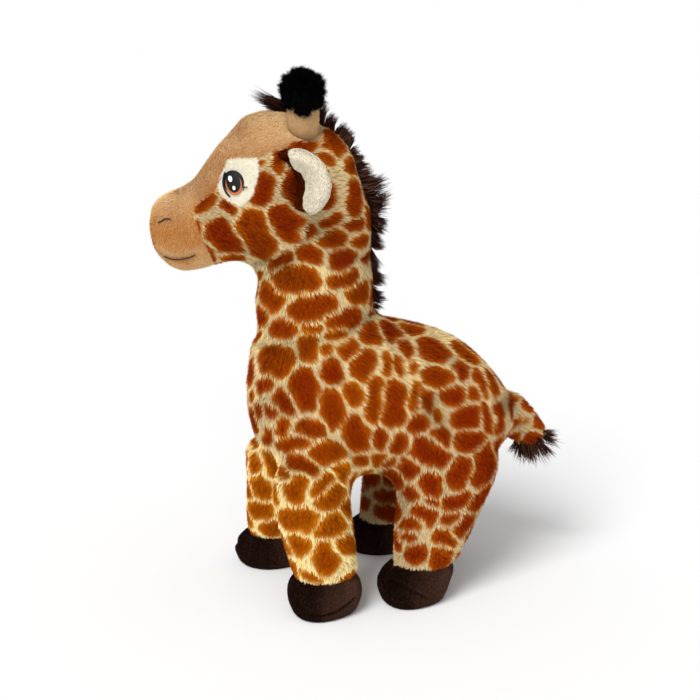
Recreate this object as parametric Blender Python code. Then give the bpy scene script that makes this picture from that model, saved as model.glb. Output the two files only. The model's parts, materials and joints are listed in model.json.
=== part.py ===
"""Plush giraffe, standing, 0.40 m tall: sewn skins round stuffing, with hooves, ears, horns, mane and tail.

Metres, +Z up. The giraffe faces -Y and its left side is +X. The origin is on the floor, below the middle
of the toy's box. Heights are measured from the floor. Places along the body are measured from GIRAFFE_MIDDLE,
which the first empty carries, and places on the head from the axis on which the head turns.
"""
import math

import bmesh
import bpy
import numpy as np
from mathutils import Matrix, Vector

for leftover in list(bpy.data.objects):
    bpy.data.objects.remove(leftover, do_unlink=True)

# Frame: how far the lines that the body is drawn on lie from the middle of the toy's box
GIRAFFE_MIDDLE = Vector((-0.0022, 0.0261, 0.0))

# Fabric and clearances
PLUSH_THICKNESS = 0.0040
VELBOA_THICKNESS = 0.0024
SEAM_GAP = 0.0003
STUFFING_GAP = 0.0008
JOINT_GAP = 0.0008
CUT_OVERRUN = 0.010

# Torso: a bag that bends from the upright neck opening to the level back
TORSO_LENGTH = 0.2110
TORSO_HEIGHT = 0.1260
TORSO_WIDTH = 0.1120
CHEST_Y = -0.0725
BELLY_Z = 0.0880
TORSO_SQUARENESS = 2.08

# Neck: a tube on a ball that sits in the torso's opening
NECK_AXIS_Y = -0.0190
NECK_PIVOT_Z = 0.2180
NECK_DEPTH = 0.0890
NECK_WIDTH = 0.0780
THROAT_Z = 0.2580

# Head: a ball with cheeks and a muzzle in front, and the nape behind, turned a little to its right
HEAD_TURN_AT_REST = math.radians(-15.5)
HEAD_LENGTH = 0.1410
HEAD_HEIGHT = 0.1160
HEAD_WIDTH = 0.0860
HEAD_BACK_REACH = -0.0175
CHIN_DROP = 0.0070
HEAD_SQUARENESS = 2.15
NAPE_HEIGHT = 0.1050
NAPE_DEPTH = 0.0890
NAPE_WIDTH = 0.0780

# Eyes: embroidered ovals on cream patches
EYE_REACH = 0.0592
EYE_RISE = 0.0620
EYE_LENGTH = 0.0145
EYE_HEIGHT = 0.0190
EYE_THICKNESS = 0.0011
EYE_TILT = math.radians(-9.0)

# Ears: cupped leaves on a round root
EAR_ROOT_SIDE = 0.0425
EAR_ROOT_REACH = 0.0110
EAR_ROOT_RISE = 0.0700
EAR_ROOT_RADIUS = 0.0036
EAR_ROOT_HEIGHT = 0.0200
EAR_LENGTH = 0.0370
EAR_HALF_HEIGHT = 0.0300
EAR_CUP_RADIUS = 0.0300
EAR_SWEEP = math.radians(32.0)
EAR_RISE = math.radians(5.0)
EAR_ROLL = math.radians(21.0)
EAR_OUTER_THICKNESS = 0.0030
EAR_LINING_THICKNESS = 0.0026
EAR_ROOT_LATITUDES = (60.0, 30.0, 0.0)

# Horns: stuffed stems with pompoms, seated as balls in the crown
HORN_SIDE = 0.0200
HORN_REACH = 0.0086
HORN_RISE = 0.1020
HORN_RADIUS = 0.0122
HORN_LENGTH = 0.0180
HORN_SPLAY = math.radians(9.0)
POMPOM_RADIUS = 0.0163
POMPOM_SEAT_DEPTH = 0.0050
HORN_BALL_LATITUDES = (66.0, 44.0, 22.0, 0.0)

# Mane: a strip of long pile along the middle seam
MANE_ROOT_WIDTH = 0.0070
MANE_TIP_WIDTH = 0.0030
MANE_ROOT_DEPTH = 0.0030
MANE_REACH = 0.0150
LOCK_PITCH = 0.0085
LOCK_LEAN = 0.0030
NOTCH_SHARE = 0.55
MANE_END_CLEARANCE = 0.0015
FORELOCK_STATIONS = 6
NECK_LINE_STATIONS = 4

# Tail: a flat stuffed tube on a round root, with a fringe
TAIL_ROOT_Y = 0.1430
TAIL_ROOT_Z = 0.1275
TAIL_ROOT_TILT = math.radians(-3.0)
TAIL_THICKNESS = 0.0130
TAIL_WIDTH = 0.0400
TAIL_END_WIDTH = 0.0265
TAIL_REACH = 0.0290
TAIL_DROP = 0.0275
TAIL_END_TILT = math.radians(60.0)
TAIL_SQUARENESS = 2.6
TAIL_DROOP_POWER = 1.3
TAIL_ROOT_LATITUDES = (72.0, 48.0, 24.0)
TAIL_STATION_SHARES = (0.0, 0.25, 0.5, 0.75, 1.0)
FRINGE_LENGTH = 0.0160
FRINGE_THICKNESS = 0.0110
FRINGE_TIP_THICKNESS = 0.0050
FRINGE_LOCKS = 6
FRINGE_NOTCH_SHARE = 0.65
FRINGE_ROOT_SHARE = 0.90
FRINGE_FAN_SHARE = 0.45

# Legs and hooves
ANKLE_Z = 0.0305
FRONT_HIP_SIDE = 0.0370
FRONT_HIP_Y = -0.0345
FRONT_HIP_Z = 0.0900
FRONT_HIP_RADIUS = 0.0315
FRONT_HIP_HALF_WIDTH = 0.0265
FRONT_ANKLE_RADIUS = 0.0262
HIND_HIP_SIDE = 0.0380
HIND_HIP_Y = 0.0750
HIND_HIP_Z = 0.0950
HIND_HIP_RADIUS = 0.0415
HIND_HIP_HALF_WIDTH = 0.0280
HIND_ANKLE_RADIUS = 0.0268
ANKLE_HALF_WIDTH = 0.0258
HOOF_LENGTH = 0.0520
HOOF_WIDTH = 0.0490
SOLE_THICKNESS = 0.0036
SOLE_EDGE = 0.0010
HOOF_SQUARENESS = 2.05

# Facets
BODY_SEGMENTS = 24
LIMB_SEGMENTS = 20
FILLING_DIVISOR = 2
BALL_SEGMENTS = 24
BALL_RINGS = 12
FILLING_BODY_SEGMENTS = BODY_SEGMENTS // FILLING_DIVISOR
FILLING_LIMB_SEGMENTS = LIMB_SEGMENTS // FILLING_DIVISOR
FILLING_SHRINK = -(PLUSH_THICKNESS + STUFFING_GAP)
HOOF_FILLING_SHRINK = -(VELBOA_THICKNESS + STUFFING_GAP)
SMOOTH_ANGLE = math.radians(50.0)

# Each torso section: its top (along, up), its bottom (along, up) and its half width, all as shares
TORSO_SECTION_SHARES = (
    (0.479, 1.000, 0.031, 0.889, 0.746),
    (0.491, 0.992, 0.012, 0.762, 0.795),
    (0.507, 0.987, 0.000, 0.603, 0.857),
    (0.526, 0.980, 0.005, 0.421, 0.911),
    (0.547, 0.973, 0.040, 0.246, 0.950),
    (0.573, 0.963, 0.126, 0.107, 0.975),
    (0.609, 0.948, 0.249, 0.024, 0.987),
    (0.661, 0.923, 0.400, 0.004, 1.000),
    (0.723, 0.887, 0.562, 0.000, 1.000),
    (0.782, 0.840, 0.723, 0.012, 0.982),
    (0.839, 0.778, 0.836, 0.048, 0.938),
    (0.891, 0.694, 0.915, 0.111, 0.857),
    (0.938, 0.599, 0.962, 0.190, 0.732),
    (0.974, 0.508, 0.988, 0.282, 0.536),
)
RUMP_POLE_SHARES = (1.000, 0.397)

# Each neck ring above the ball: height, front and back reach from the neck's axis, half width, as shares
NECK_RING_SHARES = (
    (0.000, 0.495, 0.495, 1.000),
    (0.330, 0.495, 0.500, 0.985),
    (0.660, 0.492, 0.503, 0.980),
    (1.000, 0.490, 0.503, 0.985),
)
NECK_BALL_LATITUDES = (68.0, 46.0, 24.0)

# Each head section: reach from the back, top, bottom and half width, as shares
HEAD_SECTION_SHARES = (
    (0.025, 0.776, 0.440, 0.442),
    (0.096, 0.888, 0.302, 0.721),
    (0.188, 0.961, 0.168, 0.907),
    (0.294, 0.994, 0.097, 0.991),
    (0.401, 0.996, 0.072, 0.991),
    (0.479, 0.966, 0.067, 0.935),
    (0.557, 0.901, 0.063, 0.842),
    (0.628, 0.815, 0.047, 0.744),
    (0.691, 0.711, 0.028, 0.674),
    (0.755, 0.603, 0.009, 0.623),
    (0.826, 0.547, 0.003, 0.600),
    (0.890, 0.522, 0.034, 0.565),
    (0.947, 0.478, 0.099, 0.477),
    (0.979, 0.427, 0.168, 0.326),
)
HEAD_BACK_POLE_SHARE = 0.610
NOSE_POLE_SHARE = 0.305

# Each nape ring: height, front reach, back reach from the turning axis and half width, as shares
NAPE_RING_SHARES = (
    (0.000, 0.494, 0.483, 0.987),
    (0.181, 0.449, 0.487, 0.987),
    (0.324, 0.404, 0.487, 0.987),
    (0.419, 0.360, 0.461, 0.974),
    (0.524, 0.315, 0.416, 0.936),
    (0.638, 0.270, 0.371, 0.872),
    (0.752, 0.225, 0.335, 0.782),
    (0.838, 0.180, 0.281, 0.654),
    (0.914, 0.129, 0.191, 0.474),
    (0.967, 0.073, 0.090, 0.269),
)
NAPE_POLE_SHARE = 0.985

# Seam between the tan face and the patterned cheeks, side view, as shares of the head's length and height
FACE_SEAM_SHARES = (
    (0.628, -0.060),
    (0.636, 0.048),
    (0.660, 0.110),
    (0.702, 0.220),
    (0.736, 0.322),
    (0.752, 0.398),
    (0.745, 0.450),
    (0.694, 0.500),
    (0.640, 0.545),
    (0.560, 0.600),
    (0.465, 0.690),
    (0.400, 0.758),
    (0.340, 0.785),
    (0.275, 0.808),
    (0.222, 0.866),
    (0.212, 1.120),
)
EYE_PATCH_SHARES = (
    (0.575, 0.743),
    (0.419, 0.757),
    (0.421, 0.669),
    (0.445, 0.547),
    (0.512, 0.460),
    (0.597, 0.511),
    (0.632, 0.566),
    (0.611, 0.652),
)
FACE_FRONT_SHARES = ((1.200, 1.120), (1.200, -0.060))
CHIN_FRONT_SHARES = ((0.600, 0.176), (0.600, -0.100), (1.080, -0.100))
MOUTH_SEAM_SHARES = (
    (1.080, 0.155),
    (0.900, 0.122),
    (0.851, 0.110),
    (0.803, 0.120),
    (0.755, 0.140),
    (0.700, 0.176),
)

# Ear outline: place along the ear and half height there, as shares
EAR_OUTLINE_SHARES = (
    (0.05, 0.88),
    (0.22, 0.97),
    (0.42, 1.00),
    (0.62, 0.97),
    (0.80, 0.84),
    (0.92, 0.62),
    (1.00, 0.28),
)
EAR_CUP_STEPS = 7

# Mane: reach of the locks along the strip, from the crown down, as shares
MANE_CROWN_REACH_SHARES = (0.45, 0.40, 0.28, 0.32, 0.85, 1.00, 0.80, 0.55)
MANE_NECK_REACH_SHARES = (0.50, 0.85, 0.45, 0.75, 0.70)
FORELOCK_REACH_SHARES = (1.45, 1.30, 1.00, 0.75, 0.60)
FORELOCK_START_SHARE = 0.405
FORELOCK_END_SHARE = 0.170
FORELOCK_LEAN = 0.0075

# Leg: rings between hip and ankle, and hoof rings between sole and ankle, as shares
LEG_BALL_LATITUDES = (66.0, 44.0, 22.0, 0.0, -15.0)
LEG_RING_SHARES = (0.30, 0.65, 1.00)
HOOF_RING_SHARES = (
    (0.00, 1.000, 0.00),
    (0.20, 1.065, 0.00),
    (0.45, 1.095, 0.10),
    (0.70, 1.050, 0.45),
    (0.88, 0.980, 0.80),
    (1.00, 0.965, 1.00),
)


class Leg:
    """Where one leg stands and how it moves."""

    def __init__(self, name, side, hip_sizes, ankle, hoof):
        hip_y, hip_z, hip_side, hip_radius, hip_half_width, ankle_radius = hip_sizes
        self.name = name
        self.hip = Vector((side * hip_side, hip_y, hip_z))
        self.hip_radius = hip_radius
        self.hip_half_width = hip_half_width
        self.ankle_radius = ankle_radius
        self.ankle = Vector((ankle[0], ankle[1], ANKLE_Z))
        self.hoof = Vector((hoof[0], hoof[1], 0.0))


# Where the ankles and the hooves stand, beside and along the body
LEFT_FRONT_ANKLE = (0.0490, -0.0280)
LEFT_FRONT_HOOF = (0.0510, -0.0290)
RIGHT_FRONT_ANKLE = (-0.0530, -0.0360)
RIGHT_FRONT_HOOF = (-0.0560, -0.0410)
LEFT_HIND_ANKLE = (0.0490, 0.0540)
LEFT_HIND_HOOF = (0.0515, 0.0425)
RIGHT_HIND_ANKLE = (-0.0520, 0.0620)
RIGHT_HIND_HOOF = (-0.0560, 0.0530)

FRONT_LEG_SIZES = (
    FRONT_HIP_Y, FRONT_HIP_Z, FRONT_HIP_SIDE, FRONT_HIP_RADIUS, FRONT_HIP_HALF_WIDTH, FRONT_ANKLE_RADIUS,
)
HIND_LEG_SIZES = (
    HIND_HIP_Y, HIND_HIP_Z, HIND_HIP_SIDE, HIND_HIP_RADIUS, HIND_HIP_HALF_WIDTH, HIND_ANKLE_RADIUS,
)
LEGS = (
    Leg("front_left", 1, FRONT_LEG_SIZES, LEFT_FRONT_ANKLE, LEFT_FRONT_HOOF),
    Leg("front_right", -1, FRONT_LEG_SIZES, RIGHT_FRONT_ANKLE, RIGHT_FRONT_HOOF),
    Leg("hind_left", 1, HIND_LEG_SIZES, LEFT_HIND_ANKLE, LEFT_HIND_HOOF),
    Leg("hind_right", -1, HIND_LEG_SIZES, RIGHT_HIND_ANKLE, RIGHT_HIND_HOOF),
)
SIDES = (("left", 1), ("right", -1))


# Materials


def fabric(name, colour, roughness=0.95):
    """A matt cloth colour."""
    material = bpy.data.materials.new(name)
    material.use_nodes = True
    shader = material.node_tree.nodes["Principled BSDF"]
    shader.inputs["Base Color"].default_value = (*colour, 1.0)
    shader.inputs["Roughness"].default_value = roughness
    shader.inputs["Metallic"].default_value = 0.0
    material.diffuse_color = (*colour, 1.0)
    return material


PATTERNED_PLUSH = fabric("patterned_plush", (0.38, 0.12, 0.025))
TAN_PLUSH = fabric("tan_plush", (0.58, 0.30, 0.12))
CREAM_PLUSH = fabric("cream_plush", (0.80, 0.74, 0.58))
BROWN_VELBOA = fabric("brown_velboa", (0.030, 0.014, 0.012), 0.85)
MANE_PILE = fabric("mane_pile", (0.045, 0.018, 0.012), 0.80)
BLACK_PILE = fabric("black_pile", (0.005, 0.005, 0.005), 0.85)
EYE_THREAD = fabric("eye_thread", (0.01, 0.008, 0.008), 0.45)
POLYESTER_FILLING = fabric("polyester_filling", (0.82, 0.82, 0.80), 1.0)


# Objects and parenting


def axis_empty(name, place, parent=None, turn=0.0):
    """An empty that marks a joint's axis and carries the pieces that move on it."""
    empty = bpy.data.objects.new(name, None)
    bpy.context.scene.collection.objects.link(empty)
    empty.location = place
    empty.rotation_euler = (0.0, 0.0, turn)
    empty.parent = parent
    return empty


def add_piece(name, mesh, parent, material):
    """A visible sub-part."""
    piece = bpy.data.objects.new(name, mesh)
    bpy.context.scene.collection.objects.link(piece)
    piece.parent = parent
    mesh.materials.append(material)
    return piece


def add_cutter(name, mesh, parent):
    """A hidden shape that cuts or completes other pieces."""
    cutter = bpy.data.objects.new(name, mesh)
    bpy.context.scene.collection.objects.link(cutter)
    cutter.parent = parent
    cutter.hide_render = True
    cutter.display_type = "WIRE"
    return cutter


def combine(piece, other, operation="DIFFERENCE"):
    """Cuts, joins or limits a piece with another shape."""
    step = piece.modifiers.new(f"{operation.lower()}_{other.name}", "BOOLEAN")
    step.operation = operation
    step.solver = "EXACT"
    step.object = other
    return piece


# Meshes


def finish_mesh(name, bm, smooth=True):
    """Turns a bmesh into a mesh with its faces out and its round faces smooth."""
    bmesh.ops.recalc_face_normals(bm, faces=bm.faces)
    mesh = bpy.data.meshes.new(name)
    bm.to_mesh(mesh)
    bm.free()
    if smooth:
        mesh.shade_smooth()
        mesh.set_sharp_from_angle(angle=SMOOTH_ANGLE)
    return mesh


def oval(centre, across, upward, segments, squareness):
    """Points round a superellipse, from +across towards +upward."""
    points = []
    for step in range(segments):
        angle = 2.0 * math.pi * step / segments
        c, s = math.cos(angle), math.sin(angle)
        u = math.copysign(abs(c) ** (2.0 / squareness), c)
        v = math.copysign(abs(s) ** (2.0 / squareness), s)
        points.append(centre + across * u + upward * v)
    return points


def loft_mesh(name, rings, start=None, end=None):
    """Skins a list of rings. An end is a pole point, or a flat face across the ring where it has none."""
    bm = bmesh.new()
    rows = [[bm.verts.new(point) for point in ring] for ring in rings]
    count = len(rows[0])
    for low, high in zip(rows, rows[1:]):
        for i in range(count):
            j = (i + 1) % count
            bm.faces.new((low[i], low[j], high[j]))
            bm.faces.new((low[i], high[j], high[i]))
    for row, pole in ((rows[0], start), (rows[-1], end)):
        if pole is None:
            bm.faces.new(row)
            continue
        tip = bm.verts.new(pole)
        for i in range(count):
            bm.faces.new((row[i], row[(i + 1) % count], tip))
    return finish_mesh(name, bm)


def ball_mesh(name, centre, half_width, radius):
    """An ellipsoid that is round about the X axis."""
    bm = bmesh.new()
    turn = Matrix.Rotation(math.pi / 2.0, 4, "Y")
    size = Matrix.Diagonal((half_width, radius, radius, 1.0))
    bmesh.ops.create_uvsphere(
        bm, u_segments=BALL_SEGMENTS, v_segments=BALL_RINGS, radius=1.0,
        matrix=Matrix.Translation(centre) @ size @ turn,
    )
    return finish_mesh(name, bm)


def prism_mesh(name, outline, low_x, high_x):
    """A side view outline of (y, z) points, extruded across the body."""
    bm = bmesh.new()
    face = bm.faces.new([bm.verts.new((low_x, y, z)) for y, z in outline])
    grown = bmesh.ops.extrude_face_region(bm, geom=[face])
    moved = [item for item in grown["geom"] if isinstance(item, bmesh.types.BMVert)]
    bmesh.ops.translate(bm, verts=moved, vec=(high_x - low_x, 0.0, 0.0))
    return finish_mesh(name, bm, smooth=False)


def lock_strip_mesh(name, roots, outwards, reaches, lean):
    """A strip of pile whose outer edge runs in and out, lock by lock."""
    half_root = Vector((MANE_ROOT_WIDTH / 2.0, 0.0, 0.0))
    half_tip = Vector((MANE_TIP_WIDTH / 2.0, 0.0, 0.0))
    bm = bmesh.new()
    rows = []
    for index, (root, outward, reach) in enumerate(zip(roots, outwards, reaches)):
        ahead = roots[min(index + 1, len(roots) - 1)] - roots[max(index - 1, 0)]
        length = reach if index % 2 else reach * NOTCH_SHARE
        tip = root + outward * length + ahead.normalized() * (lean * length / max(reaches))
        base = root - outward * MANE_ROOT_DEPTH
        corners = (base - half_root, base + half_root, tip + half_tip, tip - half_tip)
        rows.append([bm.verts.new(corner) for corner in corners])
    for low, high in zip(rows, rows[1:]):
        for i in range(4):
            j = (i + 1) % 4
            bm.faces.new((low[i], low[j], high[j], high[i]))
    bm.faces.new(rows[0])
    bm.faces.new(rows[-1])
    return finish_mesh(name, bm, smooth=False)


# Torso


def torso_point(along_share, up_share):
    return Vector((0.0, CHEST_Y + along_share * TORSO_LENGTH, BELLY_Z + up_share * TORSO_HEIGHT))


def carry_on(rings, share=1.0):
    """Carries the first ring on past an opening, by a share of its distance from the second."""
    rings[0] = [first + (first - second) * share for first, second in zip(rings[0], rings[1])]
    return rings


def torso_mesh(name, grow, segments, opened=False):
    """The torso's outline, grown or shrunk. An opened one runs on past the neck opening."""
    rings = []
    for top_along, top_up, bottom_along, bottom_up, half_width in TORSO_SECTION_SHARES:
        rearward = max((top_along + bottom_along - 1.0), 0.0)
        shift = Vector((0.0, grow * rearward, 0.0))
        top = torso_point(top_along, top_up) + shift
        bottom = torso_point(bottom_along, bottom_up) + shift
        upward = (top - bottom).normalized() * ((top - bottom).length / 2.0 + grow)
        across = Vector((half_width * TORSO_WIDTH / 2.0 + grow, 0.0, 0.0))
        rings.append(oval((top + bottom) / 2.0, across, upward, segments, TORSO_SQUARENESS))
    if opened:
        carry_on(rings)
    pole = torso_point(*RUMP_POLE_SHARES) + Vector((0.0, grow, 0.0))
    return loft_mesh(name, rings, end=pole)


# Neck


def neck_mesh(name, grow, segments, top_z):
    """The neck's ball and tube, in the frame of the neck's pivot."""
    depth = NECK_DEPTH * NECK_RING_SHARES[0][1] + grow
    width = NECK_WIDTH / 2.0 * NECK_RING_SHARES[0][3] + grow
    rings = []
    for latitude in NECK_BALL_LATITUDES:
        angle = math.radians(latitude)
        centre = Vector((0.0, 0.0, -depth * math.sin(angle)))
        across = Vector((width * math.cos(angle), 0.0, 0.0))
        forward = Vector((0.0, depth * math.cos(angle), 0.0))
        rings.append(oval(centre, across, forward, segments, 2.0))
    tube = THROAT_Z - NECK_PIVOT_Z
    for rise, front, back, half_width in NECK_RING_SHARES:
        middle = (back - front) * NECK_DEPTH / 2.0
        reach = (back + front) * NECK_DEPTH / 2.0 + grow
        across = Vector((half_width * NECK_WIDTH / 2.0 + grow, 0.0, 0.0))
        height = rise * tube if rise < 1.0 else top_z - NECK_PIVOT_Z
        rings.append(oval(Vector((0.0, middle, height)), across, Vector((0.0, reach, 0.0)), segments, 2.0))
    return loft_mesh(name, rings, start=Vector((0.0, 0.0, -depth)))


# Head, in the frame of the axis on which it turns: -Y is forward, and Z starts at the throat


def head_point(along_share, up_share, side=0.0):
    reach = HEAD_BACK_REACH + along_share * HEAD_LENGTH
    return Vector((side, -reach, up_share * HEAD_HEIGHT - CHIN_DROP))


def head_ball_mesh(name, grow, segments):
    """Cheeks, brow and muzzle as one outline, grown or shrunk."""
    rings = []
    for along, top_up, bottom_up, half_width in HEAD_SECTION_SHARES:
        shift = Vector((0.0, grow * (1.0 - 2.0 * along), 0.0))
        top = head_point(along, top_up) + shift
        bottom = head_point(along, bottom_up) + shift
        upward = Vector((0.0, 0.0, (top - bottom).length / 2.0 + grow))
        across = Vector((half_width * HEAD_WIDTH / 2.0 + grow, 0.0, 0.0))
        rings.append(oval((top + bottom) / 2.0, across, upward, segments, HEAD_SQUARENESS))
    back = head_point(0.0, HEAD_BACK_POLE_SHARE) + Vector((0.0, grow, 0.0))
    nose = head_point(1.0, NOSE_POLE_SHARE) - Vector((0.0, grow, 0.0))
    return loft_mesh(name, rings, start=back, end=nose)


def nape_ring_place(share_row):
    """Height, front reach, back reach and half width of a nape ring."""
    rise, front, back, half_width = share_row
    return rise * NAPE_HEIGHT, front * NAPE_DEPTH, back * NAPE_DEPTH, half_width * NAPE_WIDTH / 2.0


def nape_mesh(name, grow, segments, opened=False):
    """The back of the head, standing on the neck. An opened one runs on past the neck opening."""
    rings = []
    for row in NAPE_RING_SHARES:
        rise, front, back, half_width = nape_ring_place(row)
        centre = Vector((0.0, (back - front) / 2.0, rise + grow * row[0]))
        reach = Vector((0.0, (back + front) / 2.0 + grow, 0.0))
        rings.append(oval(centre, Vector((half_width + grow, 0.0, 0.0)), reach, segments, 2.0))
    if opened:
        carry_on(rings)
    pole = Vector((0.0, 0.0, NAPE_POLE_SHARE * NAPE_HEIGHT + grow))
    return loft_mesh(name, rings, end=pole)


def side_outline(shares, grow=0.0):
    """A closed side view outline from head shares, moved outwards by a gap."""
    points = [head_point(along, up) for along, up in shares]
    flat = np.array([(point.y, point.z) for point in points])
    if not grow:
        return [tuple(point) for point in flat]
    before = np.roll(flat, 1, axis=0)
    after = np.roll(flat, -1, axis=0)
    area = float(np.sum(flat[:, 0] * after[:, 1] - after[:, 0] * flat[:, 1]))
    turn = -1.0 if area > 0.0 else 1.0

    def normal(edge):
        edge = edge / np.linalg.norm(edge, axis=1)[:, None]
        return turn * np.stack((-edge[:, 1], edge[:, 0]), axis=1)

    first, second = normal(flat - before), normal(after - flat)
    mean = first + second
    mean = mean / np.maximum(np.sum(mean * first, axis=1), 0.5)[:, None]
    return [tuple(point) for point in flat + mean * grow]


# Ears


def ear_frame(side):
    """The ear's root, and its axes: along the ear, up the root and forward into the cup."""
    root = Vector((side * EAR_ROOT_SIDE, -EAR_ROOT_REACH, EAR_ROOT_RISE))
    along = Vector((side * math.cos(EAR_SWEEP) * math.cos(EAR_RISE), math.sin(EAR_SWEEP), math.sin(EAR_RISE)))
    along.normalize()
    upward = Vector((0.0, -math.sin(EAR_ROLL), math.cos(EAR_ROLL)))
    upward = (upward - along * upward.dot(along)).normalized()
    forward = upward.cross(along) if side < 0 else along.cross(upward)
    if forward.y > 0.0:
        forward = -forward
    return root, along, upward, forward


def ear_layer_mesh(name, side, back_face, front_face):
    """One cupped layer of the ear, between two depths measured forward from its back."""
    _, along, upward, forward = ear_frame(side)
    bm = bmesh.new()
    layers = []
    for depth in (back_face, front_face):
        rows = []
        radius = EAR_CUP_RADIUS - depth
        for place, half in EAR_OUTLINE_SHARES:
            widest = half * EAR_HALF_HEIGHT / EAR_CUP_RADIUS
            row = []
            for step in range(EAR_CUP_STEPS + 1):
                angle = widest * (2.0 * step / EAR_CUP_STEPS - 1.0)
                lift = upward * (radius * math.sin(angle))
                cup = forward * (EAR_CUP_RADIUS - radius * math.cos(angle))
                row.append(bm.verts.new(along * (place * EAR_LENGTH) + lift + cup))
            rows.append(row)
        layers.append(rows)
    back, front = layers
    for rows in layers:
        for low, high in zip(rows, rows[1:]):
            for i in range(EAR_CUP_STEPS):
                bm.faces.new((low[i], low[i + 1], high[i + 1], high[i]))
    for i in range(EAR_CUP_STEPS):
        bm.faces.new((back[0][i], back[0][i + 1], front[0][i + 1], front[0][i]))
        bm.faces.new((back[-1][i], back[-1][i + 1], front[-1][i + 1], front[-1][i]))
    for low in range(len(back) - 1):
        for i in (0, EAR_CUP_STEPS):
            bm.faces.new((back[low][i], back[low + 1][i], front[low + 1][i], front[low][i]))
    return finish_mesh(name, bm)


def ear_root_mesh(name, side, grow):
    """The ear's round root, a rod with round ends along the hinge."""
    _, along, upward, forward = ear_frame(side)
    radius = EAR_ROOT_RADIUS + grow
    half = EAR_ROOT_HEIGHT / 2.0 - EAR_ROOT_RADIUS
    rings = []
    for end in (-1.0, 1.0):
        for latitude in EAR_ROOT_LATITUDES if end < 0 else reversed(EAR_ROOT_LATITUDES):
            angle = math.radians(latitude)
            centre = upward * (end * (half + radius * math.sin(angle)))
            spread = radius * math.cos(angle)
            rings.append(oval(centre, along * spread, forward * spread, BALL_SEGMENTS // 2, 2.0))
    tip = upward * (half + radius)
    return loft_mesh(name, rings, start=-tip, end=tip)


# Horns


def horn_mesh(name, side, grow):
    """A horn's stem: a ball in the crown that runs up into a round column."""
    lean = Vector((side * math.sin(HORN_SPLAY), 0.0, math.cos(HORN_SPLAY)))
    across = Vector((math.cos(HORN_SPLAY), 0.0, -side * math.sin(HORN_SPLAY)))
    forward = Vector((0.0, 1.0, 0.0))
    radius = HORN_RADIUS + grow
    rings = []
    for latitude in HORN_BALL_LATITUDES:
        angle = math.radians(latitude)
        spread = radius * math.cos(angle)
        centre = lean * (-radius * math.sin(angle))
        rings.append(oval(centre, across * spread, forward * spread, LIMB_SEGMENTS, 2.0))
    top = HORN_LENGTH + grow
    rings.append(oval(lean * top, across * radius, forward * radius, LIMB_SEGMENTS, 2.0))
    return loft_mesh(name, rings, start=lean * -radius)


def pompom_mesh(name, side):
    """A ball of short pile on the stem's top."""
    lean = Vector((side * math.sin(HORN_SPLAY), 0.0, math.cos(HORN_SPLAY)))
    rim_to_centre = math.sqrt(POMPOM_RADIUS ** 2 - HORN_RADIUS ** 2)
    centre = lean * (HORN_LENGTH - POMPOM_SEAT_DEPTH + rim_to_centre)
    bm = bmesh.new()
    bmesh.ops.create_uvsphere(
        bm, u_segments=LIMB_SEGMENTS, v_segments=LIMB_SEGMENTS // 2, radius=POMPOM_RADIUS,
        matrix=Matrix.Translation(centre),
    )
    return finish_mesh(name, bm)


# Tail, in the frame of its root's axis


def tail_mesh(name):
    """A flat tube that starts on a round root, turns down and ends in a slanted edge."""
    radius = TAIL_THICKNESS / 2.0
    rings = []
    for latitude in TAIL_ROOT_LATITUDES:
        angle = math.radians(latitude)
        place = Vector((0.0, -radius * math.sin(angle), 0.0))
        across = Vector((radius * math.cos(angle), 0.0, 0.0))
        upward = Vector((0.0, 0.0, TAIL_WIDTH / 2.0))
        rings.append(oval(place, across, upward, LIMB_SEGMENTS, TAIL_SQUARENESS))
    for share in TAIL_STATION_SHARES:
        place, upward = tail_station(share)
        across = Vector((radius, 0.0, 0.0))
        rings.append(oval(place, across, upward, LIMB_SEGMENTS, TAIL_SQUARENESS))
    return loft_mesh(name, rings, start=None)


def tail_station(share):
    """A place along the tail, and its half width there as a vector towards the upper edge."""
    place = Vector((0.0, TAIL_REACH * share, -TAIL_DROP * share ** TAIL_DROOP_POWER))
    tilt = TAIL_END_TILT * share
    half = (TAIL_WIDTH + (TAIL_END_WIDTH - TAIL_WIDTH) * share) / 2.0
    return place, Vector((0.0, math.sin(tilt) * half, math.cos(tilt) * half))


def fringe_mesh(name):
    """The fringe on the tail's slanted end, in locks."""
    end, upward = tail_station(1.0)
    outward = Vector((0.0, upward.normalized().z, -upward.normalized().y))
    inset = 1.0 - 2.0 * SEAM_GAP / TAIL_END_WIDTH
    bm = bmesh.new()
    stations = 2 * FRINGE_LOCKS + 1
    rows = []
    for step in range(stations):
        spread = 1.0 - 2.0 * step / (stations - 1)
        root = end + upward * (spread * inset * FRINGE_ROOT_SHARE) + outward * SEAM_GAP
        fan = (outward + upward.normalized() * (spread * FRINGE_FAN_SHARE)).normalized()
        length = FRINGE_LENGTH * (1.0 if step % 2 else FRINGE_NOTCH_SHARE)
        half_root = Vector((FRINGE_THICKNESS / 2.0 * (1.0 - FRINGE_FAN_SHARE * abs(spread)), 0.0, 0.0))
        half_tip = Vector((FRINGE_TIP_THICKNESS / 2.0, 0.0, 0.0))
        tip = root + fan * length
        corners = (root - half_root, root + half_root, tip + half_tip, tip - half_tip)
        rows.append([bm.verts.new(corner) for corner in corners])
    for low, high in zip(rows, rows[1:]):
        for i in range(4):
            j = (i + 1) % 4
            bm.faces.new((low[i], low[j], high[j], high[i]))
    bm.faces.new(rows[0])
    bm.faces.new(rows[-1])
    return finish_mesh(name, bm, smooth=False)


# Legs, each in the frame of its hip


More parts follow.
